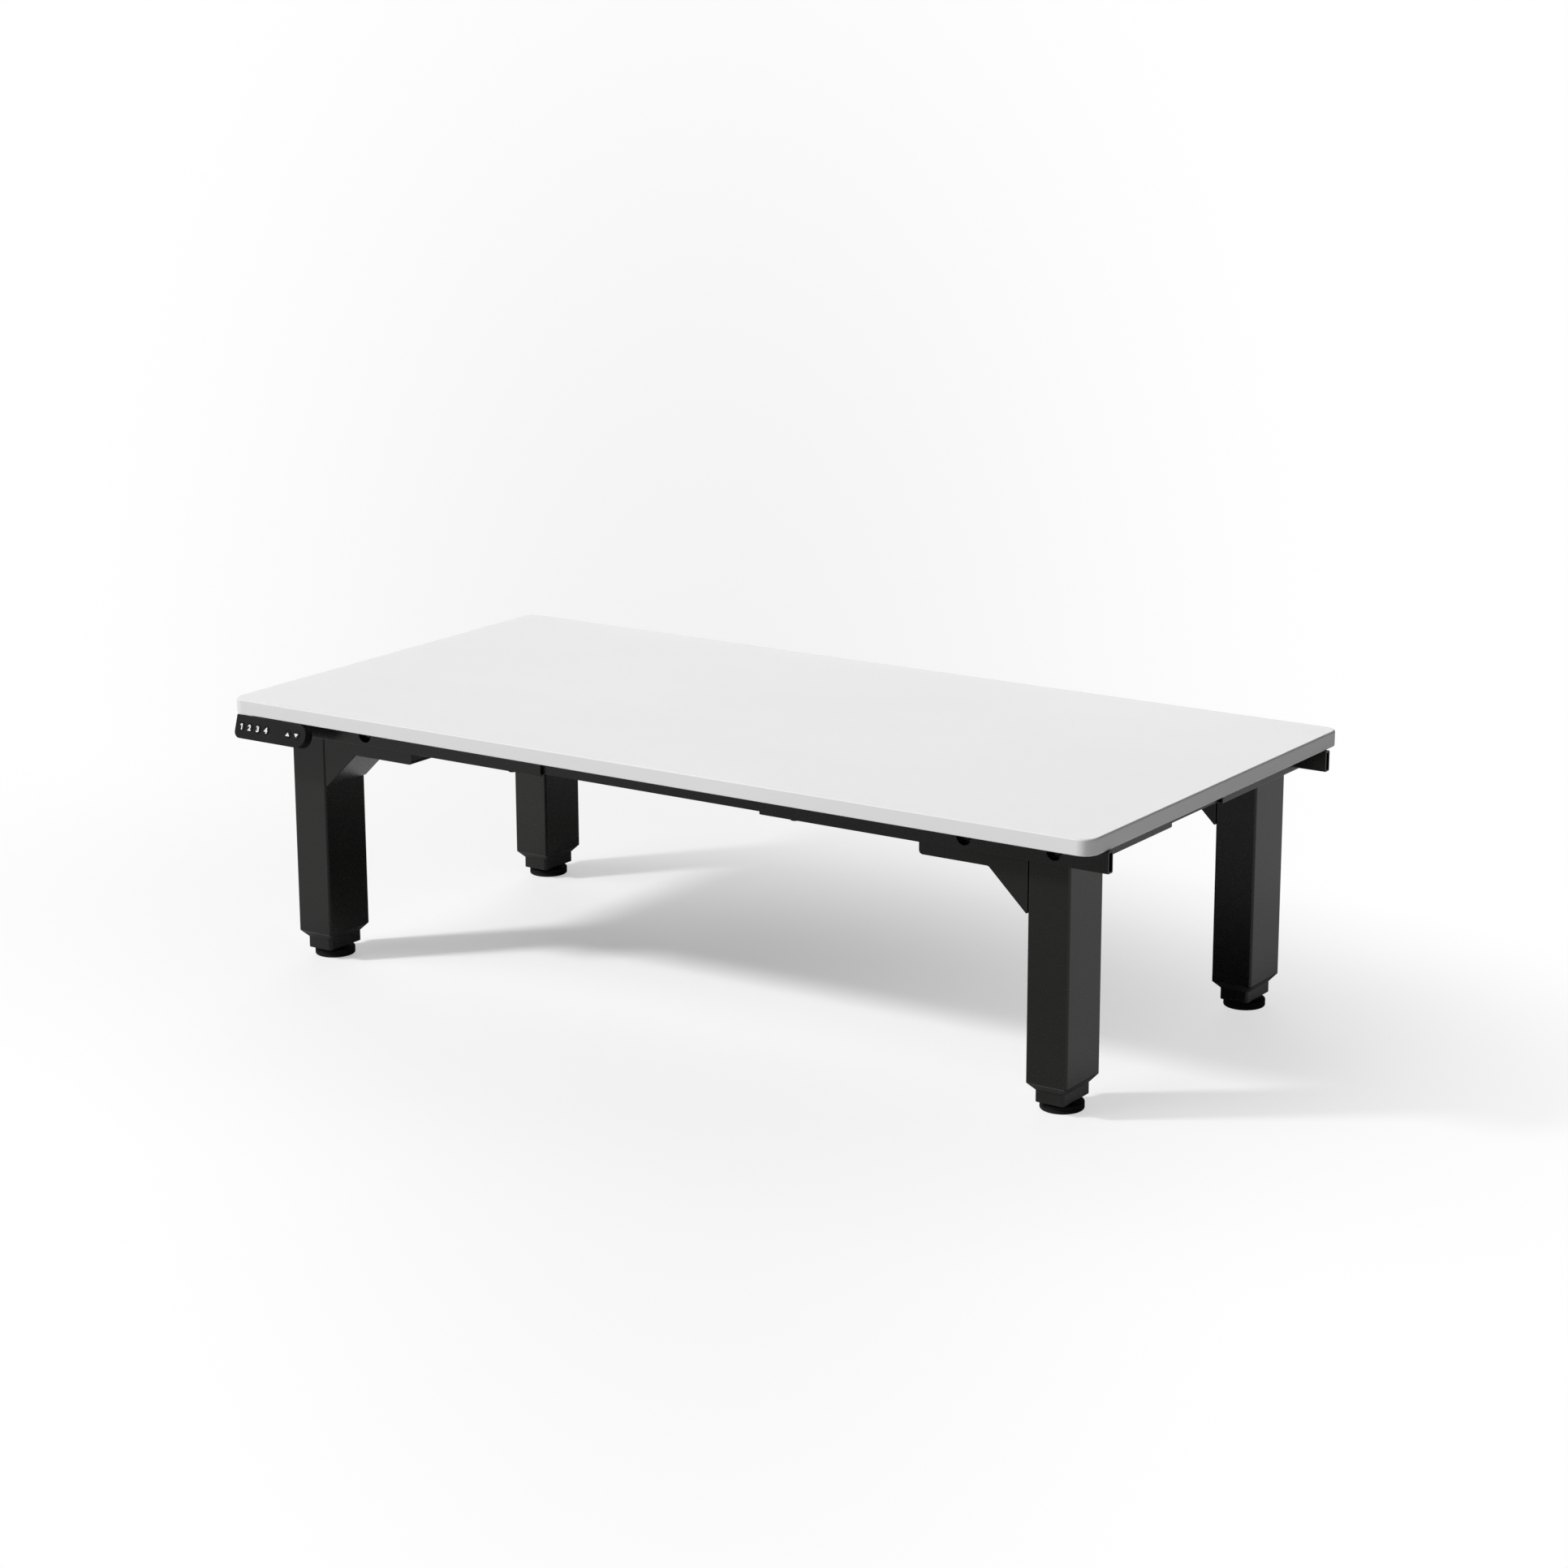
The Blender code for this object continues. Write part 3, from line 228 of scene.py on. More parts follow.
# Floor: what it throws back, the oval that the shadow lies in, and the tone that whitens from the middle
FLOOR_REACH = 60.0
FLOOR_SEEN = 1.0
FLOOR_BOUNCE = 0.68
FLOOR_FADE = (-0.4, 1.4)
FLOOR_OVAL = ((-0.144, -0.044, 0.0), (1.175, 0.627, 1.0))
# Gloss rays see painted reflections of the floor: dim in an oval about the desk, glowing bright to its left
# and right
GLOSS_OVAL = ((0.1, 0.05, 0.0), (0.55, 0.35, 1.0))
GLOSS_DIM = 0.05
GLOSS_LIT = 0.42
GLOSS_FADE = (0.7, 1.2)
GLOSS_ASIDE = 0.54
GLOSS_BRIGHT = (0.5, 0.66)
TONE_FROM = (2.38, -3.51, 0.0)
TONE_TURN = 0.5945
TONE_LOW = 0.891
TONE_FADE = (0.0, 0.19)
TONE_MIDDLE = (-0.021, 0.142, 0.0)
TONE_START = 0.348
TONE_DROP = 0.8

# Key lamp
KEY_PLACE = (-2.97, -2.84, 3.12)
KEY_POWER = 30.5
KEY_RADIUS = 0.3
KEY_REACH = 5.0

# Other lamps: name, direction of the lamp, strength, and width as an angle in degrees
LAMPS = (
    ("wide_lamp", (-0.27, -0.30, 0.33), 1.15, 45.0),
    ("back_lamp", (-0.53, 0.78, 0.28), 1.2, 50.0),
    ("right_lamp", (0.95, -0.25, 0.2), 0.14, 60.0),
)
ROOM_LIGHT = 0.035

# Screw heads: size, then shares of the radius or height
SCREW_RADIUS = 0.0042
SCREW_HEIGHT = 0.0024
HEAD_AROUND = 48
HEAD_SWEEP = 0.42 * math.pi
HEAD_BULGE = 0.6
HEAD_RIM = 0.45
HEXAGON = 0.42
CROSS_ARM = 0.5
CROSS_HALF = 0.13
DRIVE_TAPER = 0.85
DRIVE_DEPTH = 0.55

# Finishes: pairs of a dark and a light tone, and sizes of their patterns
# The laminate's two pairs of tones differ as painted light: the top face is painted paler than the band round
# the edge
LAMINATE_SHADED_BAND = ((0.725, 0.717, 0.72), (0.749, 0.742, 0.744))
LAMINATE_LIT_FACE = ((0.842, 0.832, 0.836), (0.868, 0.858, 0.861))
RUBBER_TONES = ((0.0055, 0.0055, 0.0055), (0.026, 0.0255, 0.0245))
RESIST_TONES = ((0.012, 0.13, 0.05), (0.03, 0.24, 0.09))
DUST_HEIGHT = 0.004
OIL_SHADE = 0.7
ROUGH_SWING = 0.05
GRAIN_DEPTH = 0.0004

# Colour sockets of a mix node: its two inputs and its result
MIX_COLOURS = (6, 7)
MIX_RESULT = 2

# How far cutting tools run past a face, the reach of a weld, and the least sine to divide by
OVERRUN = 0.002
WELD = 1e-6
TINY = 1e-6

# Leg name, side (left -1, right 1) and row (front -1, rear 1)
LEGS = (("front_left", -1, -1), ("front_right", 1, -1), ("rear_left", -1, 1), ("rear_right", 1, 1))
SIDES = ((-1, "left"), (1, "right"))
ROWS = ((-1, "front"), (1, "rear"))


def unit(vectors):
    """Vectors divided by their lengths."""
    return vectors / np.linalg.norm(vectors, axis=-1, keepdims=True)


def filleted(corners, radii, steps=6):
    """Polygon with an arc at each corner: the arc's centre lies radius / sin(half angle) along the
    corner's bisector, and its points turn evenly from the foot on one edge to the foot on the next."""
    corners = np.asarray(corners, float)
    radii = np.broadcast_to(np.asarray(radii, float), len(corners))[:, None]
    back = unit(np.roll(corners, 1, 0) - corners)
    ahead = unit(np.roll(corners, -1, 0) - corners)
    half = np.arccos(np.clip((back * ahead).sum(1, keepdims=True), -1.0, 1.0)) / 2
    centre = corners + unit(back + ahead) * radii / np.sin(half)
    first = corners + back * radii / np.tan(half) - centre
    last = corners + ahead * radii / np.tan(half) - centre
    sweep = np.arctan2(first[:, 0] * last[:, 1] - first[:, 1] * last[:, 0], (first * last).sum(1))
    angle = sweep[:, None] * np.linspace(0.0, 1.0, steps + 1)
    cos, sin = np.cos(angle), np.sin(angle)
    u = centre[:, :1] + first[:, :1] * cos - first[:, 1:] * sin
    v = centre[:, 1:] + first[:, :1] * sin + first[:, 1:] * cos
    outline = np.stack([u.ravel(), v.ravel()], 1)
    area = (outline[:, 0] * np.roll(outline[:, 1], -1) - outline[:, 1] * np.roll(outline[:, 0], -1)).sum()
    return outline if area > 0 else outline[::-1]


def rounded(width, height, radius, centre=(0.0, 0.0), steps=6):
    """Rectangle about a centre with quarter-circle corners."""
    half = np.array([[-1, -1], [1, -1], [1, 1], [-1, 1]]) * (width / 2, height / 2)
    return filleted(half + np.asarray(centre), radius, steps)


def slab(outline, low, high, soft_low, soft_high, steps=4):
    """Rings of an outline carried from low to high. Near an end with radius r the outline draws in along
    its mitres by r (1 - sin a) while the level moves by r (1 - cos a), which rounds the edge."""
    ahead = unit(np.roll(outline, -1, 0) - outline)
    normal = np.stack([-ahead[:, 1], ahead[:, 0]], 1)
    before = np.roll(normal, 1, 0)
    mitre = (normal + before) / (1 + (normal * before).sum(1, keepdims=True))
    angle = np.linspace(0.0, np.pi / 2, steps + 1)
    drawn = np.concatenate([soft_low * (1 - np.sin(angle)), soft_high * (1 - np.sin(angle[::-1]))])
    level = np.concatenate([
        low + soft_low * (1 - np.cos(angle)), high - soft_high * (1 - np.cos(angle[::-1])),
    ])
    flat = outline + drawn[:, None, None] * mitre
    return np.concatenate([flat, np.broadcast_to(level[:, None, None], (*flat.shape[:2], 1))], 2)


def level_ring(outline, level):
    """One ring: an outline at one level."""
    return np.column_stack([outline, np.full(len(outline), level)])[None]


def pipe(outer, inner, low, high, soft):
    """Rings of a tube: up the softened outer outline, then down the inner one, to be joined end to end."""
    outside = slab(outer, low, high, soft, soft, steps=3)
    return np.concatenate([outside, level_ring(inner, high), level_ring(inner, low)])


def turned(radius, level, count=48):
    """Rings of a profile of radius against level, turned about Z by equal angles."""
    angle = np.linspace(0.0, 2 * np.pi, count, endpoint=False)
    radius = np.asarray(radius, float)[:, None]
    level = np.broadcast_to(np.asarray(level, float)[:, None], (len(radius), count))
    return np.stack([radius * np.cos(angle), radius * np.sin(angle), level], 2)


def threaded(radius, depth, pitch, low, high, around=24, rows=10):
    """Rings of a screw thread: the radius falls by depth times a flattened triangle wave of
    level / pitch less angle / turn, and runs out to the core at both ends."""
    angle = np.linspace(0.0, 2 * np.pi, around, endpoint=False)
    level = np.linspace(low, high, int((high - low) / pitch * rows))[:, None]
    wave = np.abs(((level / pitch - angle / (2 * np.pi)) % 1.0) * 2 - 1)
    fade = np.clip(np.minimum(level - low, high - level) / pitch, 0.0, 1.0)
    slope, root = THREAD_FLANK
    reach = radius - depth + depth * fade * np.clip(wave * slope - root, 0.0, 1.0)
    level = np.broadcast_to(level, reach.shape)
    return np.stack([reach * np.cos(angle), reach * np.sin(angle), level], 2)


def skin(rings, closed=False):
    """Points and faces between neighbouring rings: the ends are capped, or joined when closed."""
    rows, count = rings.shape[:2]
    here = np.arange(rows if closed else rows - 1)[:, None] * count
    above = (here + count) % (rows * count)
    i = np.arange(count)[None]
    j = (i + 1) % count
    faces = np.stack([here + i, here + j, above + j, above + i], -1).reshape(-1, 4).tolist()
    if not closed:
        faces.append(list(range(count))[::-1])
        faces.append(list(range((rows - 1) * count, rows * count)))
    return rings.reshape(-1, 3), faces


def prism(outline, low, high):
    """A sharp-edged outline carried from low to high."""
    return skin(np.concatenate([level_ring(outline, low), level_ring(outline, high)]))


def sheet(outline, low, high):
    """An outline carried from low to high, with the small edge that cutting leaves."""
    return skin(slab(outline, low, high, CUT_EDGE, CUT_EDGE, steps=2))


def along_x(shape):
    """Turns a shape so that its outline lies in Y and Z and its levels run along X."""
    points, faces = shape
    return points[:, [2, 0, 1]], faces


def along_y(shape):
    """Turns a shape so that its outline lies in X and Z and its levels run along Y."""
    points, faces = shape
    return points[:, [0, 2, 1]], faces


def moved(shape, matrix):
    """Carries a shape's points by a matrix."""
    points, faces = shape
    matrix = np.array(matrix)
    return points @ matrix[:3, :3].T + matrix[:3, 3], faces


def together(shapes):
    """One list of points and faces from several shapes."""
    starts = np.cumsum([0] + [len(points) for points, _ in shapes])
    faces = [[i + start for i in face] for (_, part), start in zip(shapes, starts) for face in part]
    return np.concatenate([points for points, _ in shapes]), faces


def mesh_of(name, shape):
    """Mesh of a shape with its seams welded and its faces outwards."""
    points, faces = shape
    mesh = bpy.data.meshes.new(name)
    mesh.from_pydata(points.tolist(), [], faces)
    made = bmesh.new()
    made.from_mesh(mesh)
    bmesh.ops.remove_doubles(made, verts=made.verts, dist=WELD)
    bmesh.ops.recalc_face_normals(made, faces=made.faces)
    made.to_mesh(mesh)
    made.free()
    return mesh


def shape_of(thing):
    """Points and faces of an object with its modifiers, which is then removed."""
    bpy.context.view_layer.update()
    mesh = bpy.data.meshes.new_from_object(thing.evaluated_get(bpy.context.evaluated_depsgraph_get()))
    points = np.empty(len(mesh.vertices) * 3)
    mesh.vertices.foreach_get("co", points)
    faces = [list(face.vertices) for face in mesh.polygons]
    bpy.data.meshes.remove(mesh)
    bpy.data.objects.remove(thing)
    return points.reshape(-1, 3), faces


def bench(name, data):
    """A working object that never stays in the scene."""
    thing = bpy.data.objects.new(name, data)
    bpy.context.scene.collection.objects.link(thing)
    return thing


def cut(shape, *tools):
    """A shape less some tools, by an exact Boolean."""
    work = bench("work", mesh_of("work", shape))
    tool = bench("tool", mesh_of("tool", together(tools)))
    less = work.modifiers.new("less", "BOOLEAN")
    less.operation = "DIFFERENCE"
    less.solver = "EXACT"
    less.object = tool
    made = shape_of(work)
    bpy.data.objects.remove(tool)
    return made


def piece(name, shape, finish, body, slot, *nodes, crease=38):
    """Puts a shape into the scene: its finish, the body it rides on and the CAD nodes it stands for."""
    mesh = mesh_of(name, shape)
    mesh.materials.append(finish)
    mesh.shade_smooth()
    mesh.set_sharp_from_angle(angle=math.radians(crease))
    made = bench(name, mesh)
    even = made.modifiers.new("even_normals", "WEIGHTED_NORMAL")
    even.keep_sharp = True
    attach(made, body)
    if nodes:
        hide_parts(*nodes)


def coated(name, shape, *nodes):
    """A powder-coated piece of the frame, on the desk."""
    piece(name, shape, POWDER, "desk", "black_powder_coat", *nodes)


def screws(name, shape):
    """Screw heads on the desk."""
    piece(name, shape, SCREWS, "desk", "black_powder_coat")


class Finish:
    """Node material whose patterns read Object coordinates."""

    def __init__(self, name, roughness, metallic=0.0, specular=0.5):
        self.made = bpy.data.materials.new(name)
        self.made.use_nodes = True
        self.tree = self.made.node_tree
        self.shader = self.tree.nodes["Principled BSDF"]
        self.shader.inputs["Roughness"].default_value = roughness
        self.shader.inputs["Metallic"].default_value = metallic
        self.shader.inputs["Specular IOR Level"].default_value = specular
        self.place = self.node("ShaderNodeTexCoord").outputs["Object"]

    def node(self, kind, links=None, **settings):
        """Adds a node, sets its properties and fills its sockets from values or other sockets."""
        made = self.tree.nodes.new(kind)
        for key, value in settings.items():
            setattr(made, key, value)
        for key, value in (links or {}).items():
            if isinstance(value, bpy.types.NodeSocket):
                self.tree.links.new(value, made.inputs[key])
            else:
                made.inputs[key].default_value = value
        return made

    def noise(self, scale, detail=2.0, stretch=None, rough=0.5):
        """Noise of a scale per metre, longer along an axis where stretch is below 1."""
        place = self.place
        if stretch:
            place = self.node("ShaderNodeMapping", {"Vector": place, "Scale": stretch}).outputs["Vector"]
        links = {"Vector": place, "Scale": scale, "Detail": detail, "Roughness": rough}
        return self.node("ShaderNodeTexNoise", links).outputs["Fac"]

    def spread(self, value, low, high, near=0.3, far=0.7):
        """A pattern between near and far spread over low to high."""
        links = {"Value": value, "From Min": near, "From Max": far, "To Min": low, "To Max": high}
        return self.node("ShaderNodeMapRange", links).outputs["Result"]

    def smooth(self, value, low, high, near, far):
        """A value between near and far spread over low to high, level at both ends."""
        links = {"Value": value, "From Min": near, "From Max": far, "To Min": low, "To Max": high}
        return self.node("ShaderNodeMapRange", links, interpolation_type="SMOOTHSTEP").outputs["Result"]

    def maths(self, operation, first, second):
        """Two values joined by an operation."""
        return self.node("ShaderNodeMath", {0: first, 1: second}, operation=operation).outputs[0]

    def mixed(self, share, first, second):
        """Two colours mixed by a share."""
        made = self.node("ShaderNodeMix", data_type="RGBA")
        for index, value in zip(MIX_COLOURS, (first, second)):
            if isinstance(value, bpy.types.NodeSocket):
                self.tree.links.new(value, made.inputs[index])
            else:
                made.inputs[index].default_value = (*value, 1.0)
        self.tree.links.new(share, made.inputs[0])
        return made.outputs[MIX_RESULT]

    def colour(self, socket):
        """Feeds the base colour."""
        self.tree.links.new(socket, self.shader.inputs["Base Color"])

    def rough(self, socket):
        """Feeds the roughness."""
        self.tree.links.new(socket, self.shader.inputs["Roughness"])

    def relief(self, height, strength, distance, below=None):
        """Bends the normals by a height pattern, on top of another relief."""
        links = {"Height": height, "Strength": strength, "Distance": distance}
        if below:
            links["Normal"] = below
        made = self.node("ShaderNodeBump", links).outputs["Normal"]
        self.tree.links.new(made, self.shader.inputs["Normal"])
        return made


def speckled(name, dark, light, roughness, grain, strength, patch=9.0, specular=0.5, metallic=0.0):
    """Finish with a fine grain in relief and roughness, and two near tones in broad patches."""
    made = Finish(name, roughness, metallic, specular)
    fine = made.noise(grain, detail=3.0)
    made.colour(made.mixed(made.spread(made.noise(patch, detail=4.0), 0.0, 1.0), dark, light))
    made.rough(made.spread(fine, roughness - ROUGH_SWING, roughness + ROUGH_SWING))
    made.relief(fine, strength, GRAIN_DEPTH)
    return made.made


def white_laminate():
    """Melamine: a pearl of shallow pits under a faint long unevenness of tone. The upper face is painted
    paler than the band round the edge, as painted light for the more strongly lit top."""
    made = Finish("white_laminate_face", roughness=0.42, specular=0.14)
    pits = made.node("ShaderNodeTexVoronoi", {"Vector": made.place, "Scale": 850.0}).outputs["Distance"]
    fine = made.noise(1600.0)
    tone = made.spread(made.noise(5.0, detail=3.0, stretch=(0.5, 1.0, 1.0)), 0.0, 1.0)
    height = made.node("ShaderNodeSeparateXYZ", {"Vector": made.place}).outputs["Z"]
    # Painted light: the top above the upper edge's rounding takes the paler face tones, the band the darker
    # ones
    upper = made.spread(height, 0.0, 1.0, near=DESK_HEIGHT - BOARD_UPPER_EDGE, far=DESK_HEIGHT)
    made.colour(made.mixed(upper, made.mixed(tone, *LAMINATE_SHADED_BAND), made.mixed(tone, *LAMINATE_LIT_FACE)))
    made.rough(made.spread(fine, 0.38, 0.48))
    pitted = made.relief(pits, strength=0.06, distance=0.0002)
    made.relief(fine, strength=0.05, distance=0.0002, below=pitted)
    return made.made


def black_rubber():
    """Rubber foot: a matt grain, paler with dust towards the floor."""
    made = Finish("black_rubber_foot", roughness=0.78, specular=0.18)
    fine = made.noise(1800.0, detail=3.0)
    height = made.node("ShaderNodeSeparateXYZ", {"Vector": made.place}).outputs["Z"]
    dust = made.spread(height, 1.0, 0.0, near=0.0, far=DUST_HEIGHT)
    specks = made.maths("MULTIPLY", dust, made.noise(260.0, detail=5.0))
    made.colour(made.mixed(specks, *RUBBER_TONES))
    made.rough(made.spread(fine, 0.7, 0.86))
    made.relief(fine, strength=0.25, distance=0.0004)
    return made.made


def turned_steel(name, tone, roughness):
    """Steel with fine tool marks that run across its length, and darker patches of old oil."""
    made = Finish(name, roughness, metallic=1.0)
    marks = made.noise(60.0, detail=3.0, stretch=(0.3, 0.3, 30.0))
    oil = made.noise(45.0, detail=4.0)
    darker = tuple(OIL_SHADE * value for value in tone)
    made.colour(made.mixed(made.spread(oil, 0.0, 1.0), darker, tone))
    made.rough(made.spread(marks, roughness - 0.08, roughness + 0.1))
    made.relief(marks, strength=0.12, distance=0.0003)
    return made.made


def circuit_board():
    """Solder-resist green with copper tracks showing through in steps."""
    made = Finish("circuit_board_face", roughness=0.4)
    bricks = {"Vector": made.place, "Scale": 160.0, "Mortar Size": 0.06}
    tracks = made.node("ShaderNodeTexBrick", bricks).outputs["Fac"]
    made.colour(made.mixed(tracks, *RESIST_TONES))
    made.rough(made.spread(made.noise(900.0), 0.34, 0.48))
    made.relief(tracks, strength=0.2, distance=0.0002)
    return made.made


LAMINATE = white_laminate()
POWDER = speckled(
    "black_powder_coat_satin", (0.0082, 0.0077, 0.0071), (0.0111, 0.0105, 0.0097),
    roughness=0.27, grain=900.0, strength=0.06, specular=0.4,
)
PLASTIC = speckled(
    "black_moulded_plastic", (0.012, 0.012, 0.012), (0.016, 0.016, 0.017),
    roughness=0.52, grain=1500.0, strength=0.2,
)
PANEL = speckled(
    "panel_plastic", (0.008, 0.008, 0.009), (0.011, 0.011, 0.012),
    roughness=0.5, grain=2200.0, strength=0.1, patch=30.0, specular=0.12,
)
BUTTON = speckled(
    "button_plastic", (0.009, 0.009, 0.01), (0.012, 0.012, 0.013),
    roughness=0.4, grain=2600.0, strength=0.08, patch=60.0, specular=0.15,
)
PRINT = speckled(
    "white_print", (0.78, 0.78, 0.78), (0.84, 0.84, 0.83),
    roughness=0.5, grain=2600.0, strength=0.05, patch=300.0,
)
SCREWS = speckled(
    "black_zinc_screws", (0.03, 0.03, 0.032), (0.06, 0.06, 0.064),
    roughness=0.36, grain=1200.0, strength=0.1, patch=160.0, metallic=0.85,
)
RUBBER = black_rubber()
NUT = speckled(
    "acetal_nut", (0.7, 0.69, 0.63), (0.78, 0.77, 0.71),
    roughness=0.5, grain=1400.0, strength=0.08, patch=20.0,
)
MOTOR = turned_steel("motor_can_steel", (0.33, 0.33, 0.34), roughness=0.4)
SPINDLE = turned_steel("spindle_bright_steel", (0.56, 0.56, 0.57), roughness=0.3)
BOARD = circuit_board()


def leg_frame(side, row):
    """Frame on a leg's axis at the floor, with -Y outwards, so that a rear leg is turned round."""
    turn = Matrix.Rotation(math.pi if row > 0 else 0.0, 4, "Z")
    return Matrix.Translation((side * LEG_X, row * LEG_Y, 0.0)) @ turn


def screw_head(radius, height, drive):
    """Head about Z: a dome whose radius and level follow a quarter ellipse, then a sunk drive.
    The drive's polar radius is apothem / cos of the angle to the nearest flat for a hexagon, and
    the lesser of arm / cos and half width / sin for a cross."""
    angle = np.linspace(0.0, 2 * np.pi, HEAD_AROUND, endpoint=False)
    lift = np.linspace(0.0, HEAD_SWEEP, 6)
    reach = np.concatenate([[radius], radius * np.cos(lift) ** HEAD_BULGE])
    level = np.concatenate([[0.0], height * (HEAD_RIM + (1 - HEAD_RIM) * np.sin(lift))])
    dome = turned(reach, level, HEAD_AROUND)
    if drive == "hexagon":
        polar = HEXAGON * radius / np.cos((angle + np.pi / 6) % (np.pi / 3) - np.pi / 6)
    else:
        near = (angle + np.pi / 4) % (np.pi / 2) - np.pi / 4
        sine = np.maximum(np.abs(np.sin(near)), TINY)
        polar = np.minimum(CROSS_ARM * radius / np.cos(near), CROSS_HALF * radius / sine)
    mouth = np.stack([polar * np.cos(angle), polar * np.sin(angle)], 1)
    top = dome[-1, 0, 2]
    sunk = level_ring(DRIVE_TAPER * mouth, top - DRIVE_DEPTH * height)
    return skin(np.concatenate([dome, level_ring(mouth, top), sunk]))


def hung_screw(x, y, seat, radius=SCREW_RADIUS, height=SCREW_HEIGHT, drive="cross"):
    """Screw head below a sheet whose lower face is the seat."""
    place = Matrix.Translation((x, y, seat)) @ Matrix.Rotation(math.pi, 4, "X")
    return moved(screw_head(radius, height, drive), place)


def lock_screw(x, y):
    """Screw below a rail's end tube that locks the channel in it."""
    return hung_screw(x, y, RAIL_BOTTOM, LOCK_RADIUS, LOCK_HEIGHT, "hexagon")


def make_board():
    """Rounded board with an eased upper and lower edge."""
    outline = rounded(BOARD_LENGTH, BOARD_DEPTH, BOARD_CORNER, (BOARD_SHIFT, 0.0), steps=16)
    rings = slab(outline, UNDERSIDE, DESK_HEIGHT, BOARD_LOWER_EDGE, BOARD_UPPER_EDGE, steps=8)
    piece("white_board", skin(rings), LAMINATE, "desk", "white_laminate", "tabletop", crease=60)


def rail_tube(face, back, low, high):
    """Box tube between two faces across its length."""
    depth = abs(back - face)
    centre = ((face + back) / 2, FRAME_TOP - RAIL_HEIGHT / 2)
    outer = rounded(depth, RAIL_HEIGHT, RAIL_CORNER, centre)
    inner = rounded(depth - 2 * RAIL_WALL, RAIL_HEIGHT - 2 * RAIL_WALL, RAIL_BORE_CORNER, centre)
    start, end = sorted((low, high))
    return skin(pipe(outer, inner, start, end, CUT_EDGE), closed=True)


def rail_channel(face, back, depth, reach):
    """Channel, open to the back, that slides along the end tubes' rear wall."""
    inwards = math.copysign(1.0, back - face)
    lip = back - inwards * (RAIL_WALL + SLIDE)
    web = lip - inwards * depth
    inner = web + inwards * CHANNEL_WALL
    low = RAIL_BOTTOM + RAIL_WALL + SLIDE
    high = FRAME_TOP - RAIL_WALL - SLIDE
    section = [
        (web, low), (lip, low), (lip, low + CHANNEL_WALL), (inner, low + CHANNEL_WALL),
        (inner, high - CHANNEL_WALL), (lip, high - CHANNEL_WALL), (lip, high), (web, high),
    ]
    return sheet(filleted(section, CHANNEL_BEND, steps=3), -reach, reach)


def access_hole(x, face, row):
    """Tool for a round hole with a flared rim in a long rail's outer wall."""
    radius = HOLE_RADIUS + np.array([HOLE_FLARE + OVERRUN, 0.0, 0.0])
    depth = np.array([-OVERRUN, HOLE_FLARE, FRONT_DEPTH / 2])
    place = Matrix.Translation((x, face, BOLT_Z)) @ Matrix.Rotation(row * math.pi / 2, 4, "X")
    return moved(skin(turned(radius, depth, count=64)), place)


def make_long_rails():
    """Front and rear rail: end tubes with access holes, their bolts and lock screws, and a channel."""
    for row, row_name in ROWS:
        face = row * FRONT_FACE
        back = row * (FRONT_FACE - FRONT_DEPTH)
        for side, side_name in SIDES:
            name = f"{row_name}_rail_{side_name}"
            tube = along_x(rail_tube(face, back, side * FRONT_START, side * FRONT_END))
            tube = cut(tube, *[access_hole(side * x, face, row) for x in HOLE_PLACES])
            coated(f"{row_name}_tube_{side_name}", tube, name)
            seat = back + row * RAIL_WALL
            outwards = Matrix.Rotation(-row * math.pi / 2, 4, "X")
            head = screw_head(BOLT_RADIUS, BOLT_HEIGHT, "hexagon")
            places = [Matrix.Translation((side * x, seat, BOLT_Z)) for x in HOLE_PLACES]
            bolts = [moved(head, place @ outwards) for place in places]
            lock = lock_screw(side * (FRONT_START + LOCK_INSET), (face + back) / 2)
            screws(f"{name}_screws", together([*bolts, lock]))
        channel = along_x(rail_channel(face, back, FRONT_CHANNEL, FRONT_REACH))
        coated(f"{row_name}_channel", channel, f"{row_name}_rail_middle")


def make_side_rails():
    """Left and right rail: two end tubes with a lock screw each, and a channel between them."""
    for side, side_name in SIDES:
        face = side * SIDE_FACE
        back = side * (SIDE_FACE - SIDE_DEPTH)
        for row, row_name in ROWS:
            name = f"side_rail_{side_name}_{row_name}"
            tube = along_y(rail_tube(face, back, row * SIDE_START, row * SIDE_END))
            coated(f"side_tube_{side_name}_{row_name}", tube, name)
            screws(f"{name}_screw", lock_screw((face + back) / 2, row * (SIDE_START + LOCK_INSET)))
        channel = along_y(rail_channel(face, back, SIDE_CHANNEL, SIDE_REACH))
        coated(f"side_channel_{side_name}", channel, f"side_rail_{side_name}_middle")


def leg_tube(hand):
    """Outer tube with a round-bottomed slot for the motor in its inward wall."""
    outer = rounded(TUBE_WIDTH, TUBE_DEPTH, TUBE_CORNER, steps=10)
    walls = 2 * TUBE_WALL
    bore = rounded(TUBE_WIDTH - walls, TUBE_DEPTH - walls, TUBE_CORNER - TUBE_WALL, steps=10)
    tube = skin(pipe(outer, bore, TUBE_BOTTOM, FRAME_TOP, CUT_EDGE), closed=True)
    low = MOTOR_Z - MOTOR_SLOT
    high = FRAME_TOP + OVERRUN
    corners = [(-MOTOR_SLOT, low), (MOTOR_SLOT, low), (MOTOR_SLOT, high), (-MOTOR_SLOT, high)]
    bottom = MOTOR_SLOT * SLOT_ROUND
    slot = filleted(corners, [bottom, bottom, CUT_EDGE, CUT_EDGE], steps=10)
    wall = sorted((hand * (TUBE_WIDTH / 2 - TUBE_WALL - OVERRUN / 2), hand * (TUBE_WIDTH / 2 + OVERRUN)))
    return cut(tube, along_x(prism(slot, *wall)))


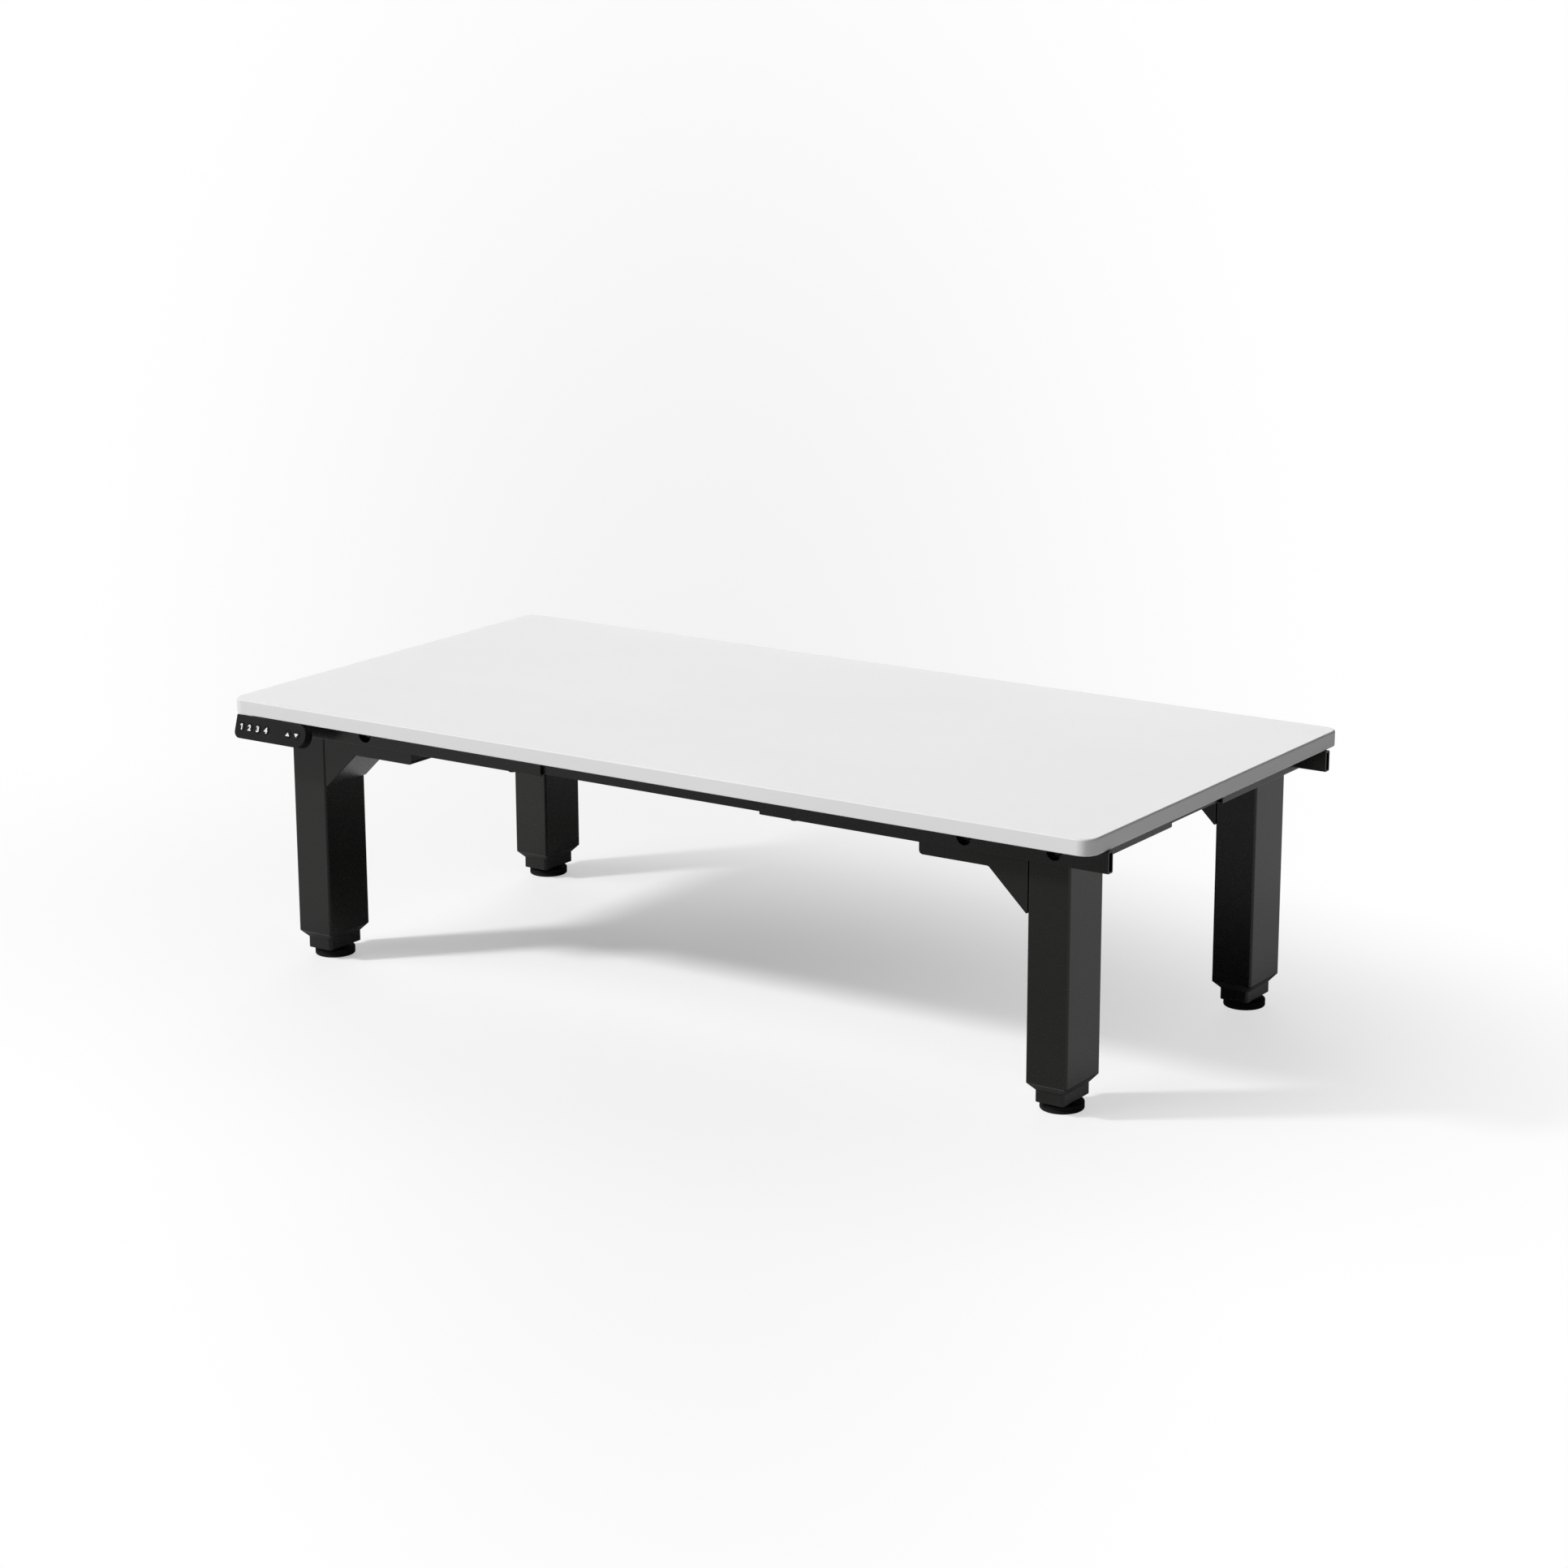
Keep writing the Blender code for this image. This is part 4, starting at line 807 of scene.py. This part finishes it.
def motor_arm(hand):
    """Bent-sheet tray beside the tube: a side outline with a gusset carried across the leg, hollowed from
    above and from the tube's side."""
    slope = GUSSET_DROP / GUSSET_RUN
    gusset_end = ARM_START + GUSSET_RUN
    lift = ARM_SHEET * math.hypot(1.0, slope)
    open_start = ARM_START - OVERRUN
    open_top = FRAME_TOP + OVERRUN
    floor = ARM_BOTTOM + ARM_SHEET
    outside = [
        (ARM_START, ARM_BOTTOM - GUSSET_DROP), (ARM_START, FRAME_TOP), (ARM_REACH, FRAME_TOP),
        (ARM_REACH, ARM_BOTTOM), (gusset_end, ARM_BOTTOM),
    ]
    inside = [
        (open_start, ARM_BOTTOM - (gusset_end - open_start) * slope + lift), (open_start, open_top),
        (ARM_REACH - ARM_SHEET, open_top), (ARM_REACH - ARM_SHEET, floor),
        (gusset_end - (lift - ARM_SHEET) / slope, floor),
    ]
    half = TUBE_DEPTH / 2
    flip = np.array([hand, 1.0])
    edges = [ARM_EDGE, ARM_EDGE, ARM_EDGE]
    outer = filleted(np.array(outside) * flip, [*edges, ARM_CORNER, ARM_CORNER], steps=8)
    inner = filleted(np.array(inside) * flip, [*edges, ARM_CORNER - ARM_SHEET, ARM_CORNER], steps=8)
    tray = along_y(skin(slab(outer, -half, half, ARM_BEND, ARM_BEND)))
    return cut(tray, along_y(sheet(inner, -half + ARM_SHEET, half - ARM_SHEET)))


def arm_tab(hand):
    """Tab at the arm's end with round outer corners, under the board."""
    start = ARM_REACH + GAP
    end = ARM_REACH + TAB_LENGTH
    half = TAB_WIDTH / 2
    corners = np.array([(start, -half), (end, -half), (end, half), (start, half)])
    outline = filleted(corners * (hand, 1.0), [SHEET_CORNER, TAB_CORNER, TAB_CORNER, SHEET_CORNER])
    return sheet(outline, FRAME_TOP - ARM_SHEET, FRAME_TOP)


def tube_collar():
    """Collar with a tapered brim below the tube and a sleeve inside it: a rounded rectangle whose width,
    depth and corner follow the collar's section once round."""
    bore = np.array([INNER_WIDTH + 2 * SLIDE, INNER_DEPTH + 2 * SLIDE, INNER_CORNER + SLIDE])
    lip = bore + (2 * COLLAR_LIP, 2 * COLLAR_LIP, COLLAR_LIP)
    tube = np.array([TUBE_WIDTH, TUBE_DEPTH, TUBE_CORNER])
    walls = 2 * TUBE_WALL + 2 * GAP
    sleeve = tube - (walls, walls, TUBE_WALL)
    ease = COLLAR_EASE * np.array([1.0, 1.0, 0.0])
    brim = TUBE_BOTTOM - GAP
    section = [
        (bore, COLLAR_LOW + COLLAR_EASE), (bore + ease, COLLAR_LOW),
        (lip - ease - (0.0, 0.0, COLLAR_LIP / 2), COLLAR_LOW), (lip, COLLAR_LOW + COLLAR_EASE / 2),
        (tube - ease, brim - COLLAR_EASE), (tube, brim - COLLAR_EASE / 2), (tube - ease, brim),
        (sleeve, brim), (sleeve, COLLAR_TOP - COLLAR_EASE), (sleeve - 2 * ease, COLLAR_TOP),
        (bore, COLLAR_TOP),
    ]
    rings = [level_ring(rounded(*size, steps=10), level) for size, level in section]
    return skin(np.concatenate(rings), closed=True)


def sliding_tube():
    """Inner tube closed below by a plate with a round hole: up the outside, down the bore, across the plate
    to as many points at equal angles round a circle, and down through it."""
    outer = rounded(INNER_WIDTH, INNER_DEPTH, INNER_CORNER, steps=10)
    walls = 2 * INNER_WALL
    bore = rounded(INNER_WIDTH - walls, INNER_DEPTH - walls, INNER_CORNER - INNER_WALL, steps=10)
    angle = np.pi + (np.arange(len(outer)) + 0.5) * 2 * np.pi / len(outer)
    hole = (STUD_RADIUS + SLIDE) * np.stack([np.cos(angle), np.sin(angle)], 1)
    plate = INNER_BOTTOM + INNER_PLATE
    return skin(np.concatenate([
        slab(outer, INNER_BOTTOM, INNER_TOP, INNER_EDGE, CUT_EDGE, steps=3), level_ring(bore, INNER_TOP),
        level_ring(bore, plate), level_ring(hole, plate), level_ring(hole, INNER_BOTTOM),
    ]), closed=True)


def foot_pad():
    """Round pad: half-round edges above and below a shallow groove, a dished top and a neck."""
    turn = np.linspace(0.0, np.pi / 2, 7)
    rise = FOOT_ROUND * (1 - np.cos(turn))
    draw = FOOT_ROUND * (1 - np.sin(turn))
    groove = np.array([
        (0.0, -GROOVE_MOUTH), (-GROOVE_DEPTH, -GROOVE_FLOOR),
        (-GROOVE_DEPTH, GROOVE_FLOOR), (0.0, GROOVE_MOUTH),
    ])
    wide, high = NECK_FILLET
    radius = np.concatenate([
        FOOT_RADIUS - draw, FOOT_RADIUS + groove[:, 0], FOOT_RADIUS - rise,
        [FOOT_NECK + wide, FOOT_NECK, FOOT_NECK, FOOT_NECK - NECK_EDGE, STUD_RADIUS + GAP],
    ])
    level = np.concatenate([
        rise, FOOT_HEIGHT / 2 + groove[:, 1], FOOT_HEIGHT - draw,
        [FOOT_HEIGHT, FOOT_HEIGHT + high, FOOT_NECK_TOP - NECK_EDGE, FOOT_NECK_TOP, FOOT_NECK_TOP],
    ])
    return skin(turned(radius, level, count=72))


def make_legs():
    """The four columns, with their arms, collars, sliding tubes, lift screws and feet."""
    handed = {hand: (leg_tube(hand), motor_arm(hand), arm_tab(hand)) for hand in (-1, 1)}
    collar = tube_collar()
    inner = sliding_tube()
    screw = skin(threaded(SPINDLE_RADIUS, THREAD_DEPTH, SPINDLE_PITCH, SPINDLE_LOW, SPINDLE_HIGH))
    pad = foot_pad()
    stud = skin(threaded(STUD_RADIUS, STUD_THREAD, STUD_PITCH, FOOT_NECK_TOP, STUD_TOP, around=20, rows=6))
    for leg, side, row in LEGS:
        place = leg_frame(side, row)
        hand = side * row
        tube, arm, tab = [moved(shape, place) for shape in handed[hand]]
        coated(f"leg_tube_{leg}", tube, f"outer_tube_{leg}")
        coated(f"motor_arm_{leg}", arm, f"motor_housing_{leg}")
        coated(f"arm_tab_{leg}", tab)
        x = hand * (ARM_REACH + TAB_LENGTH / 2)
        heads = [hung_screw(x, y, FRAME_TOP - ARM_SHEET) for y in (-TAB_SCREW, TAB_SCREW)]
        screws(f"arm_screws_{leg}", moved(together(heads), place))
        for name, shape, finish, body, slot, *nodes in (
            ("tube_collar", collar, PLASTIC, "desk", "black_plastic", f"guide_collar_{leg}"),
            ("sliding_tube", inner, POWDER, f"leg_{leg}", "black_powder_coat", f"inner_tube_{leg}"),
            ("lift_screw", screw, SPINDLE, f"spindle_{leg}", "spindle_steel", f"spindle_{leg}"),
            ("foot_pad", pad, RUBBER, f"foot_{leg}", "black_rubber", f"levelling_foot_{leg}"),
            ("foot_stud", stud, SPINDLE, f"foot_{leg}", "spindle_steel"),
        ):
            piece(f"{name}_{leg}", moved(shape, place), finish, body, slot, *nodes)


def panel_frame():
    """Frame at the top of the panel's face: X along it, Y into it, Z up it."""
    return Matrix.Translation(PANEL_PLACE) @ Matrix.Rotation(-PANEL_TILT, 4, "X")


def panel_outline(inset):
    """The panel's face: square at the top left, an arc below it, nearly half round at the right."""
    left = -PANEL_LENGTH / 2 + inset
    right = PANEL_LENGTH / 2 - inset
    bottom = -PANEL_HEIGHT + inset
    end = (PANEL_HEIGHT / 2 - inset) * PANEL_END
    corners = [(left, bottom), (right, bottom), (right, -inset), (left, -inset)]
    return filleted(corners, [PANEL_CORNER - inset, end, end, CUT_EDGE + PANEL_EDGE], steps=14)


def panel_button():
    """Button about Z with its face up: a dished cap with a soft edge, a flange behind the panel's wall
    and a stem."""
    turn = np.linspace(0.0, np.pi / 2, 5)
    middle, ring = DISH_DEPTHS
    flange = -PANEL_WALL - GAP
    back = flange - FLANGE_THICKNESS
    radius = np.concatenate([
        [BUTTON_STEM, BUTTON_RADIUS * DISH_RING], BUTTON_RADIUS - BUTTON_EDGE * (1 - np.sin(turn)),
        [BUTTON_RADIUS, BUTTON_FLANGE, BUTTON_FLANGE, BUTTON_STEM, BUTTON_STEM],
    ])
    level = np.concatenate([
        [BUTTON_PROUD - middle, BUTTON_PROUD - ring], BUTTON_PROUD - BUTTON_EDGE * (1 - np.cos(turn)),
        [flange, flange, back, back, STEM_END],
    ])
    return skin(turned(radius, level, count=56))


def digit(text):
    """A printed numeral: a text curve made a mesh, centred on its box and thickened."""
    curve = bpy.data.curves.new("legend", "FONT")
    curve.body = text
    curve.size = LEGEND_HEIGHT / NUMERAL_HEIGHT
    curve.offset = LEGEND_BOLD
    curve.extrude = LEGEND_THICKNESS / 2
    curve.resolution_u = 6
    points, faces = shape_of(bench("legend", curve))
    return points - (points.max(0) + points.min(0)) / 2, faces


def printed(corners):
    """A flat print with soft corners."""
    return prism(filleted(corners, LEGEND_CORNER), -LEGEND_THICKNESS / 2, LEGEND_THICKNESS / 2)


def numeral_one():
    """A printed 1: an upright bar with a flag at its left."""
    high = LEGEND_HEIGHT / 2 + LEGEND_BOLD
    left, right = ONE_BAR
    reach, upper, lower = ONE_FLAG
    return printed([
        (left, -high), (right, -high), (right, high), (left, high), (reach, high - upper),
        (reach, high - lower), (left, high - lower + upper),
    ])


def arrow(up):
    """A printed triangle that points up or down."""
    half, rise = np.array(ARROW) / 2
    return printed(np.array([(-half, -rise), (half, -rise), (0.0, rise)]) * (1.0, up))


def make_panel():
    """Button panel: case with its back, bracket, buttons and their legends."""
    place = panel_frame()
    middle = -PANEL_HEIGHT / 2
    outwards = Matrix.Rotation(math.pi / 2, 4, "X")
    spots = {name: Matrix.Translation((x, 0.0, middle)) @ outwards for name, x in BUTTON_PLACES.items()}
    case = along_y(skin(slab(panel_outline(0.0), 0.0, PANEL_THICKNESS, PANEL_EDGE, CUT_EDGE, steps=5)))
    hollow = along_y(prism(panel_outline(PANEL_WALL), PANEL_WALL, PANEL_THICKNESS + OVERRUN))
    bore = skin(turned(BUTTON_RADIUS + SLIDE + np.array([0.0, 0.0, BORE_FLARE]), BORE_LEVELS))
    case = cut(cut(case, hollow), *[moved(bore, spot) for spot in spots.values()])
    piece("panel_case", moved(case, place), PANEL, "desk", "handset_plastic", "handset_case")
    back = along_y(sheet(panel_outline(PANEL_WALL + GAP), PANEL_BACK, PANEL_THICKNESS))
    piece("panel_back", moved(back, place), PANEL, "desk", "handset_plastic")
    button = panel_button()
    legends = {f"button_{n}": digit(str(n)) for n in (2, 3, 4)}
    legends |= {"button_1": numeral_one(), "button_up": arrow(1), "button_down": arrow(-1)}
    proud = Matrix.Translation((0.0, 0.0, BUTTON_PROUD + LEGEND_THICKNESS / 4))
    for name, spot in spots.items():
        piece(f"panel_{name}", moved(button, place @ spot), BUTTON, name, "handset_plastic", name)
        legend = moved(legends[name], place @ spot @ proud)
        piece(f"legend_{name}", legend, PRINT, name, "white_laminate")
    make_bracket(place)


def make_bracket(place):
    """Bent plate behind the panel: its section carried along X, and two screws in its flange."""
    front = PANEL_THICKNESS + GAP
    rear = front + BRACKET_SHEET
    foot = -PANEL_HEIGHT + PANEL_WALL
    lean = math.cos(PANEL_TILT)
    heel = PANEL_PLACE[1] + rear / lean
    end = -FRONT_FACE - BRACKET_GAP
    seat = FRAME_TOP - BRACKET_SHEET
    low_front = place @ Vector((0.0, front, foot))
    low_back = place @ Vector((0.0, rear, foot))
    section = [
        (low_front.y, low_front.z), (low_back.y, low_back.z),
        (heel - BRACKET_SHEET * math.tan(PANEL_TILT), seat), (end, seat),
        (end, FRAME_TOP), (heel - BRACKET_SHEET / lean, FRAME_TOP),
    ]
    middle = PANEL_PLACE[0]
    half = PANEL_LENGTH / 2 - BRACKET_INSET
    bent = along_x(sheet(filleted(section, SHEET_CORNER, steps=4), middle - half, middle + half))
    coated("panel_bracket", bent, "handset_bracket")
    reach = half - BRACKET_SCREW
    heads = [hung_screw(middle + s * reach, (heel + end) / 2, seat) for s in (-1, 1)]
    screws("bracket_screws", together(heads))


def make_control_box():
    """Control box under the board: plate with screws, vented case with its sockets, and mains inlet."""
    centre = (0.0, BOX_Y)
    seat = FRAME_TOP - PLATE_SHEET
    plate = rounded(BOX_LENGTH + 2 * PLATE_EAR, BOX_WIDTH, BOX_CORNER, centre)
    coated("control_plate", sheet(plate, seat, FRAME_TOP), "control_box_plate")
    x = (BOX_LENGTH + PLATE_EAR) / 2
    y = BOX_WIDTH / 2 - PLATE_EAR / 2
    heads = [hung_screw(s * x, BOX_Y + r * y, seat) for s in (-1, 1) for r in (-1, 1)]
    screws("plate_screws", together(heads))

    outer = rounded(BOX_LENGTH, BOX_WIDTH, BOX_CORNER, centre, steps=8)
    shell = skin(slab(outer, BOX_BOTTOM, BOX_TOP, BOX_EDGE, CUT_EDGE, steps=6))
    walls = 2 * BOX_WALL
    inner = rounded(BOX_LENGTH - walls, BOX_WIDTH - walls, BOX_CORNER - BOX_WALL, centre, steps=8)
    hollow = skin(slab(inner, BOX_BOTTOM + BOX_WALL, BOX_TOP + OVERRUN, BOX_INNER_EDGE, 0.0, steps=3))
    level = (BOX_BOTTOM + BOX_TOP) / 2
    inlet = (INLET_X, level)
    doors = [rounded(INLET_WIDTH, INLET_HEIGHT, INLET_CORNER, inlet)]
    doors += [rounded(*SOCKET, (SOCKET_START - n * SOCKET_STEP, level)) for n in range(SOCKETS)]
    wall = (BOX_BACK - BOX_WALL - OVERRUN, BOX_BACK + OVERRUN)
    tools = [along_y(prism(door, *wall)) for door in doors]
    vents = [rounded(*VENT, (s * (VENT_START + n * VENT_STEP), BOX_Y)) for s in (-1, 1) for n in range(VENTS)]
    floor = (BOX_BOTTOM - OVERRUN, BOX_BOTTOM + BOX_WALL + BOX_INNER_EDGE)
    tools += [prism(vent, *floor) for vent in vents]
    case = cut(cut(shell, hollow), *tools)
    piece("control_case", case, PLASTIC, "desk", "black_plastic", "control_box_case")

    width, height = INLET_WIDTH - 2 * GAP, INLET_HEIGHT - 2 * GAP
    insert = along_y(sheet(rounded(width, height, INLET_CORNER, inlet), BOX_BACK - INLET_DEPTH, BOX_BACK))
    recess = rounded(width - 2 * INLET_RIM, height - 2 * INLET_RIM, RECESS_CORNER, inlet)
    insert = cut(insert, along_y(prism(recess, BOX_BACK - RECESS_DEPTH, BOX_BACK + OVERRUN)))
    piece("inlet_shell", insert, PLASTIC, "desk", "black_plastic", "mains_inlet")
    blades = [rounded(*BLADE, (INLET_X + n * BLADE_STEP, level)) for n in (-1, 0, 1)]
    reach = (BOX_BACK - RECESS_DEPTH, BOX_BACK - BLADE_INSET)
    pins = [along_y(skin(slab(blade, *reach, 0.0, BLADE_TIP, steps=3))) for blade in blades]
    piece("inlet_pins", together(pins), SPINDLE, "desk", "spindle_steel")


def dress_nodes():
    """Gives the CAD nodes that no piece stands for a finish of their own."""
    for name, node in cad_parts.items():
        for start, finish in (("gear_motor", MOTOR), ("spindle_nut", NUT), ("handset_board", BOARD)):
            if name.startswith(start):
                node.data.materials.clear()
                node.data.materials.append(finish)


def make_floor():
    """Wide pale floor. To the camera it is part its own tone and part its light, so that the shadow is pale.
    The share of its own tone grows outwards over an oval about the shadow, and is whole beyond it. The tone
    rises smoothly to white with the distance of (b, TONE_DROP) / d from TONE_MIDDLE, for a point b to the
    right of TONE_FROM and d - TONE_START ahead of it, when turned by TONE_TURN. Gloss sees it as painted
    reflections: dim near the desk, and glowing bright to the desk's left and right."""
    corners = np.array([(-1, -1, 0), (1, -1, 0), (1, 1, 0), (-1, 1, 0)]) * FLOOR_REACH
    mesh = bpy.data.meshes.new("floor")
    mesh.from_pydata(corners.tolist(), [], [(0, 1, 2, 3)])
    pale = Finish("pale_floor", 1.0)
    pale.tree.nodes.remove(pale.shader)
    rays = pale.node("ShaderNodeLightPath").outputs
    camera = rays["Is Camera Ray"]

    links = {"Vector": pale.place, "Location": TONE_FROM, "Rotation": (0.0, 0.0, TONE_TURN)}
    ahead = pale.node("ShaderNodeMapping", links, vector_type="TEXTURE").outputs["Vector"]
    ahead = pale.node("ShaderNodeSeparateXYZ", {"Vector": ahead}).outputs
    near = pale.maths("DIVIDE", 1.0, pale.maths("ADD", ahead["Y"], TONE_START))
    flat = pale.node("ShaderNodeCombineXYZ", {"X": ahead["X"], "Y": TONE_DROP}).outputs["Vector"]
    flat = pale.node("ShaderNodeVectorMath", {"Vector": flat, "Scale": near}, operation="SCALE")
    links = {0: flat.outputs["Vector"], 1: TONE_MIDDLE}
    away = pale.node("ShaderNodeVectorMath", links, operation="DISTANCE").outputs["Value"]
    own = pale.node("ShaderNodeEmission", {"Strength": pale.smooth(away, TONE_LOW, 1.0, *TONE_FADE)})

    def oval(middle, span):
        """Distance from a middle in parts of a span along X and Y."""
        links = {"Vector": pale.place, "Location": middle, "Scale": span}
        place = pale.node("ShaderNodeMapping", links, vector_type="TEXTURE").outputs["Vector"]
        return pale.node("ShaderNodeVectorMath", {0: place}, operation="LENGTH").outputs["Value"]

    # Painted reflections: gloss rays see the floor glowing bright to the desk's sides and dim about the desk
    across = pale.node("ShaderNodeSeparateXYZ", {"Vector": pale.place}).outputs["X"]
    aside = pale.smooth(pale.maths("ABSOLUTE", across, 0.0), 0.0, GLOSS_ASIDE, *GLOSS_BRIGHT)
    gloss = pale.maths("MULTIPLY", rays["Is Glossy Ray"], aside)
    whole = pale.smooth(oval(*FLOOR_OVAL), 0.0, 1.0, *FLOOR_FADE)
    share = pale.spread(camera, gloss, whole, 0.0, 1.0)
    sheen = pale.smooth(oval(*GLOSS_OVAL), GLOSS_DIM, GLOSS_LIT, *GLOSS_FADE)
    dim = pale.spread(rays["Is Glossy Ray"], FLOOR_BOUNCE, sheen, 0.0, 1.0)
    lit = pale.node("ShaderNodeBsdfDiffuse", {"Color": pale.spread(camera, dim, FLOOR_SEEN, 0.0, 1.0)})
    links = {0: share, 1: lit.outputs["BSDF"], 2: own.outputs["Emission"]}
    made = pale.node("ShaderNodeMixShader", links).outputs["Shader"]
    pale.tree.links.new(made, pale.tree.nodes["Material Output"].inputs["Surface"])
    mesh.materials.append(pale.made)
    bench("floor", mesh)


def make_lamp(name, towards, strength, softness):
    """Distant soft lamp: towards points at it, softness is its width as an angle in degrees."""
    lamp = bpy.data.lights.new(name, "SUN")
    lamp.energy = strength
    lamp.angle = math.radians(softness)
    made = bench(name, lamp)
    made.rotation_euler = Vector(towards).to_track_quat("Z", "Y").to_euler()


def make_key_lamp():
    """Ball lamp at a place in front on the left, so that the shadows spread. Its strength rises with the
    distance d as d / KEY_REACH, which lights a level surface evenly."""
    lamp = bpy.data.lights.new("key_lamp", "POINT")
    lamp.energy = KEY_POWER
    lamp.shadow_soft_size = KEY_RADIUS
    lamp.use_nodes = True
    tree = lamp.node_tree
    rays = tree.nodes.new("ShaderNodeLightPath")
    rise = tree.nodes.new("ShaderNodeMath")
    rise.operation = "DIVIDE"
    rise.inputs[1].default_value = KEY_REACH
    tree.links.new(rays.outputs["Ray Length"], rise.inputs[0])
    even = tree.nodes.new("ShaderNodeLightFalloff")
    tree.links.new(rise.outputs["Value"], even.inputs["Strength"])
    tree.links.new(even.outputs["Constant"], tree.nodes["Emission"].inputs["Strength"])
    bench("key_lamp", lamp).location = KEY_PLACE


def make_light():
    """Key lamp with a wider one round it from the front left, a broad lamp behind on the left, a weak one
    on the right, and a dim room."""
    make_key_lamp()
    for lamp in LAMPS:
        make_lamp(*lamp)
    world = bpy.data.worlds.new("room")
    bpy.context.scene.world = world
    world.use_nodes = True
    tree = world.node_tree
    rays = tree.nodes.new("ShaderNodeLightPath")
    room = tree.nodes.new("ShaderNodeMapRange")
    room.inputs["To Min"].default_value = ROOM_LIGHT
    room.inputs["To Max"].default_value = 1.0
    tree.links.new(rays.outputs["Is Camera Ray"], room.inputs["Value"])
    back = tree.nodes["Background"]
    back.inputs["Color"].default_value = (1.0, 1.0, 1.0, 1.0)
    tree.links.new(room.outputs["Result"], back.inputs["Strength"])


def make_camera():
    """Camera from its place, azimuth, tilt and roll, as a matrix of its three axes."""
    ahead = Vector((
        -math.sin(CAMERA_AZIMUTH) * math.cos(CAMERA_TILT), math.cos(CAMERA_AZIMUTH) * math.cos(CAMERA_TILT),
        -math.sin(CAMERA_TILT),
    ))
    right = Vector((math.cos(CAMERA_AZIMUTH), math.sin(CAMERA_AZIMUTH), 0.0))
    up = right.cross(ahead)
    across = math.cos(CAMERA_ROLL) * right + math.sin(CAMERA_ROLL) * up
    upright = math.cos(CAMERA_ROLL) * up - math.sin(CAMERA_ROLL) * right
    lens = bpy.data.cameras.new("camera")
    lens.lens = CAMERA_LENS
    lens.sensor_width = CAMERA_SENSOR
    made = bench("camera", lens)
    axes = Matrix((across, upright, -ahead)).transposed().to_4x4()
    made.matrix_world = Matrix.Translation(CAMERA_PLACE) @ axes
    bpy.context.scene.camera = made


make_board()
make_long_rails()
make_side_rails()
make_legs()
make_panel()
make_control_box()
dress_nodes()
make_floor()
make_light()
make_camera()
bpy.context.scene.view_settings.view_transform = "Standard"
